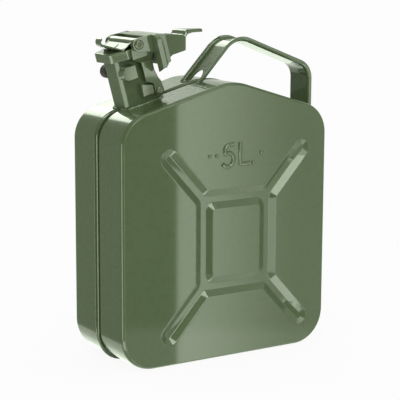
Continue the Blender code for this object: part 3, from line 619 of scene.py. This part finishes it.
def seamBead():
    mesh = bmesh.new()
    line = canOutline(can["beadInset"], flangeChange * (1 - can["beadInset"] / can["recessDepth"]))
    centres = [Vector((point.x, 0, point.y)) for point in line]
    across = []
    for index, centre in enumerate(centres):
        along = centres[(index + 1) % len(centres)] - centres[index - 1]
        across.append(Vector((along.z, 0, -along.x)))
    # flat sides: the two welded sheet edges meet in a low ridge
    tubeAlong(mesh, centres, [can["beadRadius"]] * len(centres), across, steps["bead"])
    onCan(softEdges(fromBmesh("seamBead", mesh), can["beadEdge"], segments=2, angle=40))


seamBead()


# filler neck and its weld

def neckLine(grow, count):
    # each corner is a narrow flat between a soft bend and a tighter one
    corners = []
    radii = []
    for signX, signY in ((-1, -1), (1, -1), (1, 1), (-1, 1)):
        farX, farY = neck["half"] + grow, neck["side"] + grow
        side = (signX * farX - neck["shift"], signY * (farY - neck["flatY"]))
        front = (signX * (farX - neck["flatX"]) - neck["shift"], signY * farY)
        ends = [(side, neck["softBend"] + grow), (front, neck["tightBend"] + grow)]
        for corner, radius in ends if signX * signY > 0 else ends[::-1]:
            corners.append(corner)
            radii.append(radius)
    return roundedOutline(corners, radii, count)


def fillerNeck():
    mesh = bmesh.new()
    levels = (-neck["root"], 0, neck["top"] / 2, neck["top"])
    joinRings(mesh, ringsAt(mesh, neckLine(0.0, steps["neck"]), levels))
    facesOut(mesh)
    outer = next(iter(mesh.faces))
    if outer.normal.dot(outer.calc_center_median()) < 0:
        bmesh.ops.reverse_faces(mesh, faces=mesh.faces)
    piece = thicken(fromBmesh("neckTube", mesh), neck["sheet"], -1)
    piece.data.transform(neckMatrix)
    softEdges(piece, neck["lip"], angle=50)
    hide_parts("filler_neck")
    onCan(piece)


def neckWeld():
    # a hand-laid bead round the foot of the neck, down into the seam recess
    chance = random.Random(weldLook["seed"])
    centres = []
    across = []
    radii = []
    line = neckLine(neck["gap"] + neck["weldRadius"] / 2, steps["weldLine"])
    for index, point in enumerate(denser(line, neck["weldSpacing"])):
        beside = clamp((abs(point.y) - can["flangeBend"]) / can["recessReach"])
        level = neck["weldLow"] - can["recessDepth"] * weldLook["sink"] * (1 - beside * beside)
        centres.append(Vector((point.x, point.y, level)))
        across.append(Vector((point.x + neck["shift"], point.y, 0)))
        ripple = (sin(index * weldLook["wave"]) + chance.uniform(-1, 1)) / 2
        radii.append(neck["weldRadius"] + neck["weldRipple"] * ripple)
    mesh = bmesh.new()
    tubeAlong(mesh, centres, radii, across, steps["weld"])
    mesh.transform(neckMatrix)
    onCan(evenShade(fromBmesh("neckWeld", mesh), sharpAngle=80))


fillerNeck()
neckWeld()
print("neck welded")


# strap handle

strap = inMetres({
    "half": 16, "sheet": 1.5, "height": 4.6, "bendPlace": 23.7, "bendRise": 43, "leftBend": 26,
    "rightBend": 20, "footDrop": 46.5, "footCut": 12, "notchHalf": 7.5, "notchHeight": 9.5,
    "fold": 2.3, "rim": 0.35})
strapSlopes = {"left": radians(46.9), "top": radians(20.9)}
strapEnd = {"rows": 4, "lift": 0.6}  # the channel's sides run out over the last rows


def strapPath():
    leftX = can["peakShift"] + strap["bendPlace"]
    peak = can["shoulder"] + can["peakRise"]
    left = Vector((leftX, peak + strap["bendRise"]))
    rightX = halfWidth + neck["gap"] + strap["height"]
    right = Vector((rightX, left.y - (rightX - left.x) * tan(strapSlopes["top"])))
    down = Vector((-cos(strapSlopes["left"]), -sin(strapSlopes["left"])))
    foot = left + down * (left.y - can["shoulder"])
    end = Vector((rightX, can["shoulder"] - strap["footDrop"]))
    path = roundedPath([foot, left, right, end], [strap["leftBend"], strap["rightBend"]],
                       steps["strap"])
    rows = strapEnd["rows"]
    cut = [Vector((rightX, end.y + strap["footCut"] * step / rows)) for step in range(rows, 0, -1)]
    return [point + Vector((shift, 0)) for point in path[:-1] + cut + path[-1:]]


def strapHandle():
    path = strapPath()
    depth = strap["height"] - strap["sheet"] / 2
    half = strap["half"] - strap["sheet"] / 2
    fold = strap["fold"]
    right = pi / 2
    section = [Vector((-half, 0.0))]
    section += arcPoints((fold - half, depth - fold), fold, pi, right, steps["channel"])
    section += arcPoints((half - fold, depth - fold), fold, right, 0, steps["channel"])
    section += [Vector((half, 0.0))]
    mesh = bmesh.new()
    rows = []
    for index, point in enumerate(path):
        along = alongAt(path, index)
        inward = Vector((along.y, -along.x))
        cut = max(0, index - (len(path) - 1 - strapEnd["rows"])) / strapEnd["rows"]
        row = []
        for width, drop in section:
            level = max(drop, depth * strapEnd["lift"] * cut)
            spot = point + inward * level
            row.append(mesh.verts.new((spot.x, width, spot.y)))
        rows.append(row)
    joinRings(mesh, rows, closed=False)
    facesOut(mesh)
    piece = thicken(fromBmesh("strapHandle", mesh), strap["sheet"], 0)
    low = (shift - halfWidth, can["shoulder"] + neck["gap"])
    limit = shift + 2 * can["peakShift"] + strap["bendPlace"]
    high = (limit, low[1] + (limit - low[0]) * tan(slope))
    cutWith(piece, blockAlongY("slopeTrim", [(low[0], -can["width"]), (limit, -can["width"]),
                                             high, low], -halfDepth, halfDepth))
    footTop = can["shoulder"] + can["peakRise"] + strap["notchHeight"] - can["recessDepth"]
    notchHalf = strap["notchHalf"]
    arch = arcPoints((0, footTop - notchHalf), notchHalf, 0, pi, steps["notch"])
    arch += [(-notchHalf, can["shoulder"]), (notchHalf, can["shoulder"])]
    footX = (path[0].x + path[1].x) / 2
    notch = blockAlongY("footNotch", arch, -neck["drill"], neck["drill"])
    notch.data.transform(Matrix.Translation((footX, 0, 0)) @ Matrix.Rotation(right, 4, "Z"))
    cutWith(piece, notch)
    softEdges(piece, strap["rim"], angle=40)
    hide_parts("carry_handle")
    onCan(piece)


strapHandle()
print("handle bent")


# capacity mark: raised strokes, half sunk in the front face, as (x, z) in millimetres

mark = inMetres({"stroke": 2.2, "dot": 2.0, "proud": 1.7})
markLines = {
    "five": [(5.6, 209), (-3.6, 209), (-4.9, 199.4), (-1.5, 201.2), (2.6, 200.6), (5.4, 197),
             (5.2, 191.6), (1.4, 187.6), (-3.4, 187.6), (-6.6, 190.6)],
    "letter": [(13.2, 210.5), (13.2, 189.6), (24.2, 189.6)]}
markDots = [(-21.5, 199), (-13.5, 199), (28.2, 189.8), (37.6, 199)]


def markPiece():
    mesh = bmesh.new()
    for name, line in markLines.items():
        curve = bpy.data.curves.new(name, "CURVE")
        curve.dimensions = "3D"
        curve.bevel_depth = mark["stroke"]
        curve.bevel_resolution = 4
        curve.use_fill_caps = True
        curve.resolution_u = 8
        spline = curve.splines.new("NURBS" if name == "five" else "POLY")
        spline.points.add(len(line) - 1)
        for point, (x, z) in zip(spline.points, line):
            point.co = (x * mm + shift, 0, z * mm, 1)
        if name == "five":
            spline.order_u = 3
            spline.use_endpoint_u = True
        stroke = newObject(name, curve)
        bpy.context.view_layer.update()
        data = bpy.data.meshes.new_from_object(stroke.evaluated_get(
            bpy.context.evaluated_depsgraph_get()))
        mesh.from_mesh(data)
        bpy.data.objects.remove(stroke, do_unlink=True)
    for x, z in markDots:
        bmesh.ops.create_uvsphere(mesh, u_segments=16, v_segments=10, radius=mark["dot"],
                                  matrix=Matrix.Translation((x * mm + shift, 0, z * mm)))
    for vertex in mesh.verts:
        vertex.co.y = -halfDepth + vertex.co.y * mark["proud"] / mark["stroke"]
    facesOut(mesh)
    onCan(evenShade(fromBmesh("capacityMark", mesh), sharpAngle=70))


markPiece()


# closure, bracket and pins; x runs from the neck's middle towards the handle, z up the neck

lever = inMetres({
    "pinHeight": 58, "earRadius": 6.2, "topFall": 5.5, "backStart": 29.6, "tailEnd": 59,
    "tailFall": 9.7, "sheet": 1.5, "cheekFront": 15, "side": 26, "pinSide": 23, "edge": 0.5,
    "trimBack": 6, "trimAbove": 20, "trimBeyond": 40})
splay = {"lug": 1.1, "bracket": 2.6, "cheek": 1.5, "tail": -0.6, "arm": 2.0}  # degrees
lean = inMetres({
    "lugMove": 1.5, "lugFrom": 19, "lugIn": 2.4, "lugMiddle": -12, "bracketFrom": 17,
    "bracketMiddle": 2, "leverMiddle": 30, "tailFrom": 18, "armFoot": 17, "armRun": 10,
    "armMiddle": -8})
cap = inMetres({"backFrom": -12, "backRun": 6.4, "backMove": 3.6, "noseFrom": -18.4,
                "noseRun": 11, "noseMove": 1})
capWiden = 0.093
bridge = inMetres({
    "front": -13.5, "joint": 1.5, "plateTop": 57.2, "curlFrom": 8, "tongueFrom": 1,
    "curlX": -25.2, "curlZ": 67.0, "curlRadius": 4.2, "curlReach": 5.4, "rootX": -27.1,
    "rootZ": 63.3, "tightRadius": 3.1})
bridgeShare = {"widen": 1.11, "fall": 0.46, "thick": 1.8, "shorten": 0.14}
rivet = inMetres({"shankTop": 55.4, "headLow": 57.1, "sink": 0.2})
rivetFlat = 0.4


def closeIn(spot, angle, middle):
    # pressed sheet is never quite parallel to the neck: it closes in towards the handle
    inward = (spot.x - middle) * tan(radians(angle))
    return spot - Vector((0, inward if spot.y > 0 else -inward, 0))


def shapeLug(spot):
    spot = spot + Vector((lean["lugMove"], 0, 0))
    if abs(spot.y) < lean["lugFrom"]:
        return spot
    spot = spot - Vector((0, copysign(lean["lugIn"], spot.y), 0))
    return closeIn(spot, splay["lug"], lean["lugMiddle"])


def shapeBracket(spot):
    if abs(spot.y) <= lean["bracketFrom"]:
        return spot
    return closeIn(spot, splay["bracket"], lean["bracketMiddle"])


def shapeLever(spot):
    if abs(spot.y) > lever["pinSide"]:
        return closeIn(spot, splay["cheek"], lean["leverMiddle"])
    return closeIn(spot, splay["tail"], lean["leverMiddle"]) if spot.x > lean["tailFrom"] else spot


def shapeArm(spot):
    # flat at the foot, closing in towards the head
    share = clamp((spot.z - lean["armFoot"]) / lean["armRun"])
    return closeIn(spot, splay["arm"] * share, lean["armMiddle"])


def shapePin(spot):
    # each head lies on a cheek that leans outwards
    if abs(spot.y) <= lever["pinSide"]:
        return spot
    out = lean["leverMiddle"] * tan(radians(splay["cheek"]))
    return spot + Vector((0, copysign(out, spot.y), 0))


def shapeCap(spot):
    # a broader nose than a plain oblique one
    back = clamp((cap["backFrom"] - spot.x) / cap["backRun"])
    wide = clamp((cap["noseFrom"] - spot.x) / cap["noseRun"])
    move = cap["backMove"] * back - cap["noseMove"] * wide
    return Vector((spot.x + move, spot.y * (1 + capWiden * wide), spot.z))


def shapeBridge(spot):
    # the plate falls from the barrel to its front edge, and the tip is a small tight curl
    front = bridge["front"]
    if spot.x > front - bridge["joint"]:
        spot = Vector((spot.x, spot.y * bridgeShare["widen"], spot.z))
    if front < spot.x < 0 and spot.z < bridge["plateTop"]:
        return spot + Vector((0, 0, (spot.x - front) * bridgeShare["fall"]))
    middle = Vector((bridge["curlX"], 0, bridge["curlZ"]))
    out = Vector((spot.x, 0, spot.z)) - middle
    if spot.x < front - bridge["curlFrom"] and out.length < bridge["curlReach"]:
        root = Vector((bridge["rootX"], 0, bridge["rootZ"]))
        centre = root + (middle - root) * bridge["tightRadius"] / bridge["curlRadius"]
        beyond = (out.length - bridge["curlRadius"]) * bridgeShare["thick"]
        out = out.normalized() * (bridge["tightRadius"] + beyond)
        spot = centre + out + Vector((0, spot.y, 0))
    if spot.x < front - bridge["tongueFrom"]:
        spot = spot + Vector(((front - spot.x) * bridgeShare["shorten"], 0, 0))
    return spot


def shapeRivet(spot):
    # its flat head lies on the sloping plate
    if spot.z < rivet["shankTop"]:
        return spot
    rise = (spot.x - bridge["front"]) * bridgeShare["fall"] - rivet["sink"]
    head = max(0.0, spot.z - rivet["headLow"]) * rivetFlat
    return Vector((spot.x, spot.y, min(spot.z, rivet["headLow"]) + head + rise))


pairs = [
    ("spout_lug", "lug", 0.7, "can", "body_paint", "satinOlive", shapeLug),
    ("hinge_bracket", "bracket", 0.5, "can", "body_paint", "satinOlive", shapeBracket),
    ("hinge_pin", "hingePin", 0.25, "can", "pin_steel", "rubbedPin", None),
    ("stirrup_arm", "arm", 0.35, "stirrup", "fitting_paint", "satinOlive", shapeArm)]
singles = [
    ("cross_pin", "crossPin", 0.3, "stirrup", "pin_steel", "rubbedPin", shapePin),
    ("cap_shell", "capCover", 0.7, "cap", "fitting_paint", "satinOlive", shapeCap),
    ("cap_gasket", "capGasket", 0.3, "cap", "black_rubber", "mattRubber", shapeCap),
    ("cap_bridge", "capBridge", 0.3, "cap", "fitting_paint", "satinOlive", shapeBridge),
    ("cap_rivet", "capRivet", 0.2, "cap", "pin_steel", "satinOlive", shapeRivet)]
closure = [(node + end, name + end[1:].capitalize(), *rest) for node, name, *rest in pairs
           for end in ("_front", "_rear")] + singles
# how far a face may turn from the neck and still get the painted shade
shadeLimit = 0.3
for node, name, width, body, slot, finish, shape in closure:
    piece = place(fromCad(node, name, width * mm, shape), body, finish)
    if node.startswith("spout_lug"):
        # painted shade: dark brown on the side that faces the neck, and on all but the outer face
        # of the far lug
        piece.data.materials.append(finishes["paintedLugShade"])
        side = 1 if node.endswith("rear") else -1
        for face in piece.data.polygons:
            face.material_index = int(face.normal.y * side < shadeLimit * side)


def tailTop(across):
    start = lever["pinHeight"] + lever["earRadius"] - lever["topFall"]
    end = lever["pinHeight"] - lever["tailFall"]
    share = (across - lever["backStart"]) / (lever["tailEnd"] - lever["backStart"])
    return start + (end - start) * share


def camLever():
    mesh = cadMesh("closure_lever")
    mesh.transform(neckMatrix.inverted())
    piece = fromBmesh("camLever", mesh)
    # a thumb tab of its own takes the place of the plain one
    end = lever["tailEnd"]
    first = end - lever["trimBack"]
    above = lever["pinHeight"] + lever["earRadius"] + lever["trimAbove"]
    beyond = end + lever["trimBeyond"]
    low = tailTop(end) - lever["trimBack"]
    cutWith(piece, blockAlongY("tabTrim", [
        (first, tailTop(first)), (end, tailTop(end)), (end, low), (beyond, low),
        (beyond, above), (first, above)], -lever["side"], lever["side"]))
    cleaned = bmesh.new()
    cleaned.from_mesh(piece.data)
    joinFlats(cleaned, flatWithin["plain"])
    reshape(cleaned, shapeLever)
    cleaned.transform(neckMatrix)
    cleaned.to_mesh(piece.data)
    cleaned.free()
    softEdges(piece, lever["edge"])
    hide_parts("closure_lever")
    onLever(piece)


tab = inMetres({
    "start": 50, "root": 56.8, "sink": 0.25, "rim": 2.4, "rimFrom": -1, "rimRun": 2.5,
    "rimExtra": 9, "fold": 60.6, "rise": 4.2, "length": 22.5, "half": 11.7, "endHalf": 6.5,
    "bend": 2.4, "edge": 0.45})
tabForm = {
    "fall": radians(14.5), "stations": (0.3, 0.55, 0.75, 0.87, 0.94, 0.98, 1.0),
    "taper": 0.8, "roundFrom": 0.8, "roundDepth": 0.75,
    "section": ((-1, 1), (-1, 0.35), (-0.93, 0), (-0.5, 0), (0, 0), (0.5, 0), (0.93, 0),
                (1, 0.35), (1, 1))}


def leverTab():
    # the thumb tab bends up from the end of the tail and runs out flat, its edges turned down
    level = lever["sheet"] / 2 - tab["sink"]
    along = Vector((cos(tabForm["fall"]), -sin(tabForm["fall"])))
    fold = Vector((tab["fold"], tailTop(lever["tailEnd"]) + tab["rise"]))
    start, root = (Vector((x, tailTop(x) - level)) for x in (tab["start"], tab["root"]))
    path = roundedPath([start, root, fold, fold + along * tab["length"]],
                       [tab["bend"], tab["bend"]], steps["tab"])
    last = path.pop()
    steady = path[-1]
    path += [steady.lerp(last, share) for share in tabForm["stations"]]
    mesh = bmesh.new()
    rows = []
    for point in path:
        run = clamp((point.x - fold.x) / (last.x - fold.x))
        half = tab["half"] + (tab["endHalf"] - tab["half"]) * run ** tabForm["taper"]
        turn = max(0.0, (run - tabForm["roundFrom"]) / (1 - tabForm["roundFrom"]))
        half *= sqrt(max(0.0, 1 - tabForm["roundDepth"] * turn * turn))
        past = point.x - tab["root"]
        rim = tab["rim"] * clamp((past - tab["rimFrom"]) / tab["rimRun"])
        rim *= 1 + max(0.0, 1 - past / tab["rimExtra"])
        row = []
        for share, drop in tabForm["section"]:
            spot = point - Vector((0, rim * drop))
            row.append(mesh.verts.new((spot.x, half * share, spot.y)))
        rows.append(row)
    joinRings(mesh, rows, closed=False)
    mesh.transform(neckMatrix)
    piece = thicken(fromBmesh("leverTab", mesh), lever["sheet"], 0, even=False)
    onLever(softEdges(piece, tab["edge"], angle=45))


wing = inMetres({"edge": 34.4, "radius": 2.9, "bend": 8, "top": 62.6, "low": 32, "back": 0.8,
                 "soft": 1.2})
wingDeep = 1.35


def wingRoll(name, side):
    # the rolled edge of the wing behind each stirrup arm
    top = wing["top"] - wing["radius"]
    edge = wing["edge"] - wing["radius"]
    line = roundedPath([(lever["side"] - lever["sheet"], top), (edge, top), (edge, wing["low"])],
                       [wing["bend"]], steps["roll"])
    back = lever["cheekFront"] + wing["radius"] + wing["back"]
    mesh = bmesh.new()
    rings = []
    for index, point in enumerate(line):
        along = alongAt(line, index)
        across = Vector((0, -along.y * side, along.x))
        rings.append(ringAt(mesh, Vector((back, side * point.x, point.y)), across,
                            Vector((wingDeep, 0, 0)), wing["radius"], steps["ring"]))
    joinRings(mesh, rings)
    for ring in (rings[0], rings[-1]):
        mesh.faces.new(ring)
    facesOut(mesh)
    mesh.transform(neckMatrix)
    onLever(softEdges(fromBmesh(name, mesh), wing["soft"], segments=4, angle=50))


camLever()
leverTab()
wingRoll("wingRollFront", -1)
wingRoll("wingRollRear", 1)
paint(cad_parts["breather_tube"], "drawnTube")
print("closure fitted")


# floor, light and camera

stage = {
    "floorRadius": 40.0, "floorDrop": 0.1 * mm, "floorColour": (0.97, 0.97, 0.97),
    "floorDrift": 0.99, "floorWhite": 0.92, "roomLevel": 0.74, "glossTint": (0.91, 1.0, 0.85, 1),
    "keyPower": 16.0, "keySize": 1.6, "keyPlace": (-1.6, -2.6, 2.4), "keyTarget": (0, 0, 0.14)}
white = (1, 1, 1, 1)


def mixShaders(tree, factor, first, second):
    node = tree.nodes.new("ShaderNodeMixShader")
    tree.links.new(factor, node.inputs["Fac"])
    tree.links.new(first.outputs[0], node.inputs[1])
    tree.links.new(second.outputs[0], node.inputs[2])
    return node


def floorMaterial():
    material = bpy.data.materials.new("paleFloor")
    material.use_nodes = True
    tree = material.node_tree
    shader = tree.nodes["Principled BSDF"]
    shader.inputs["Roughness"].default_value = 0.9
    shader.inputs["Specular IOR Level"].default_value = 0.1
    noise = objectNoise(tree, {"Scale": 6.0, "Detail": 2.0})
    pale = tuple(value * stage["floorDrift"] for value in stage["floorColour"])
    tree.links.new(mixColour(tree, noise.outputs["Fac"], stage["floorColour"], pale),
                   shader.inputs["Base Color"])
    glow = addNode(tree, "ShaderNodeEmission", None, {"Color": white, "Strength": 1.0})
    path = tree.nodes.new("ShaderNodeLightPath")
    share = calculate(tree, "MULTIPLY", path.outputs["Is Camera Ray"], stage["floorWhite"])
    mixed = mixShaders(tree, share, shader, glow)
    tree.links.new(mixed.outputs["Shader"], tree.nodes["Material Output"].inputs["Surface"])
    return material


def layFloor():
    mesh = bmesh.new()
    bmesh.ops.create_circle(mesh, cap_ends=True, segments=96, radius=stage["floorRadius"])
    floor = fromBmesh("paleFloor", mesh)
    floor.location.z = -stage["floorDrop"]
    floor.data.materials.append(floorMaterial())
    floor.visible_glossy = False


layFloor()

# what the gloss mirrors, in degrees round the can (0 in front, 180 behind) and above the floor;
# a band is its lower limit, the softness there, its upper limit and the softness there
studio = {
    "room": 0.35, "sideLevel": 1.1, "sideRound": (31.2, 0.12, 62.0, 8.0),
    "stripLevel": 2.9, "stripFade": (31.2, 36.8),
    "softboxes": (
        {"round": (-8.0, 0.8, 18.0, 4.0), "rise": (4.0, 0.8, 51.2, 0.8), "level": 7.5},
        {"round": (-8.0, 0.8, 18.0, 4.0), "rise": (-30.0, 0.8, 4.0, 0.8), "level": 3.6},
        {"round": (-1.0, 0.8, 18.0, 4.0), "rise": (-58.0, 0.8, -30.0, 0.8), "level": 5.0},
        {"round": (-20.4, 0.8, -8.0, 4.0), "rise": (-14.6, 0.8, -8.3, 0.8), "level": 3.2},
        {"round": (-104.0, 0.8, -82.0, 4.0), "rise": (-17.5, 0.8, 5.2, 0.8), "level": 4.0},
        {"round": (-95.0, 3.0, -34.0, 4.0), "rise": (-42.0, 3.0, -20.0, 3.0), "level": 4.0}),
    "backLevel": 0.75, "backRound": (110.0, 15.0, 182.0, 6.0),
    "skyLevel": 4.0, "skyRound": (156.2, 1.4, 182.0, 6.0), "skyRise": (17.0, 5.0, 42.0, 8.0),
    "floorLevel": 1.1, "floorLine": -15.2, "floorSoft": 0.8, "farFloor": 7.5,
    "farRound": (-70.0, -40.0), "ceiling": 0.9, "ceilingRise": (48.0, 60.0)}


def band(tree, value, low, lowSoft, high, highSoft):
    return calculate(tree, "MULTIPLY", ramp(tree, value, low, low + lowSoft),
                     ramp(tree, value, high, high + highSoft, 1.0, 0.0))


def studioPattern(tree):
    # a number for each direction, from the softboxes of a product studio
    def times(first, second):
        return calculate(tree, "MULTIPLY", first, second)

    def plus(first, second):
        return calculate(tree, "ADD", first, second)

    where = tree.nodes.new("ShaderNodeTexCoord")
    split = tree.nodes.new("ShaderNodeSeparateXYZ")
    tree.links.new(where.outputs["Generated"], split.inputs[0])
    back = times(split.outputs["Y"], -1.0)
    around = times(calculate(tree, "ARCTAN2", split.outputs["X"], back), degrees(1))
    rise = times(calculate(tree, "ARCSINE", split.outputs["Z"]), degrees(1))
    behind = calculate(tree, "FLOORED_MODULO", around, 360.0)
    room = studio["room"]

    strip = ramp(tree, around, *studio["stripFade"], studio["stripLevel"], 0.0)
    side = times(band(tree, around, *studio["sideRound"]), plus(strip, studio["sideLevel"] - room))
    total = plus(side, room)
    for box in studio["softboxes"]:
        shape = times(band(tree, around, *box["round"]), band(tree, rise, *box["rise"]))
        total = plus(total, times(shape, box["level"]))
    backPart = band(tree, behind, *studio["backRound"])
    total = plus(total, times(backPart, studio["backLevel"] - room))
    sky = times(band(tree, behind, *studio["skyRound"]), band(tree, rise, *studio["skyRise"]))
    total = plus(total, times(sky, studio["skyLevel"]))
    # far round to the left the floor's edge lies lower
    lower = plus(rise, ramp(tree, around, *studio["farRound"], studio["farFloor"], 0.0))
    ground = ramp(tree, lower, studio["floorLine"] - studio["floorSoft"], studio["floorLine"],
                  studio["floorLevel"] - room, 0.0)
    ceiling = ramp(tree, rise, *studio["ceilingRise"], 0.0, studio["ceiling"] - room)
    return plus(plus(total, ground), ceiling)


def lightRoom():
    # soft light on the paint, the studio in its gloss and white behind the can
    world = bpy.data.worlds.new("studioRoom")
    bpy.context.scene.world = world
    world.use_nodes = True
    tree = world.node_tree
    tree.nodes.clear()
    room, gloss, clear = (
        addNode(tree, "ShaderNodeBackground", None, {"Color": colour, "Strength": level})
        for colour, level in ((white, stage["roomLevel"]), (stage["glossTint"], 1.0), (white, 1.0)))
    tree.links.new(studioPattern(tree), gloss.inputs["Strength"])
    path = tree.nodes.new("ShaderNodeLightPath")
    seen = calculate(tree, "MAXIMUM", path.outputs["Is Camera Ray"],
                     path.outputs["Is Transmission Ray"])
    lit = mixShaders(tree, path.outputs["Is Glossy Ray"], room, gloss)
    out = tree.nodes.new("ShaderNodeOutputWorld")
    tree.links.new(mixShaders(tree, seen, lit, clear).outputs[0], out.inputs["Surface"])


def hangLamp():
    lamp = bpy.data.lights.new("softKey", "AREA")
    lamp.energy = stage["keyPower"]
    lamp.size = stage["keySize"]
    key = newObject("softKey", lamp)
    key.location = stage["keyPlace"]
    aim = Vector(stage["keyTarget"]) - key.location
    key.rotation_euler = aim.to_track_quat("-Z", "Y").to_euler()
    key.visible_glossy = False


# focal is the focal length as a share of the sensor's width
view = {"eye": (-0.7107, -1.1217, 0.3870), "turn": 32.23, "rise": -10.21, "roll": 0.25,
        "focal": 1364.3 / 400, "sensor": 36.0, "nearest": 0.01}


def setCamera():
    turn, rise, roll = (radians(view[name]) for name in ("turn", "rise", "roll"))
    forward = Vector((sin(turn) * cos(rise), cos(turn) * cos(rise), sin(rise)))
    level = forward.cross(Vector((0, 0, 1))).normalized()
    lift = level.cross(forward)
    right = level * cos(roll) + lift * sin(roll)
    up = lift * cos(roll) - level * sin(roll)
    lens = bpy.data.cameras.new("photoView")
    lens.sensor_width = view["sensor"]
    lens.lens = view["focal"] * view["sensor"]
    lens.clip_start = view["nearest"]
    camera = newObject("photoView", lens)
    facing = Matrix((right, up, -forward)).transposed().to_4x4()
    camera.matrix_world = Matrix.Translation(view["eye"]) @ facing
    bpy.context.scene.camera = camera


lightRoom()
hangLamp()
setCamera()
bpy.context.scene.view_settings.view_transform = "Standard"
print("stage set")
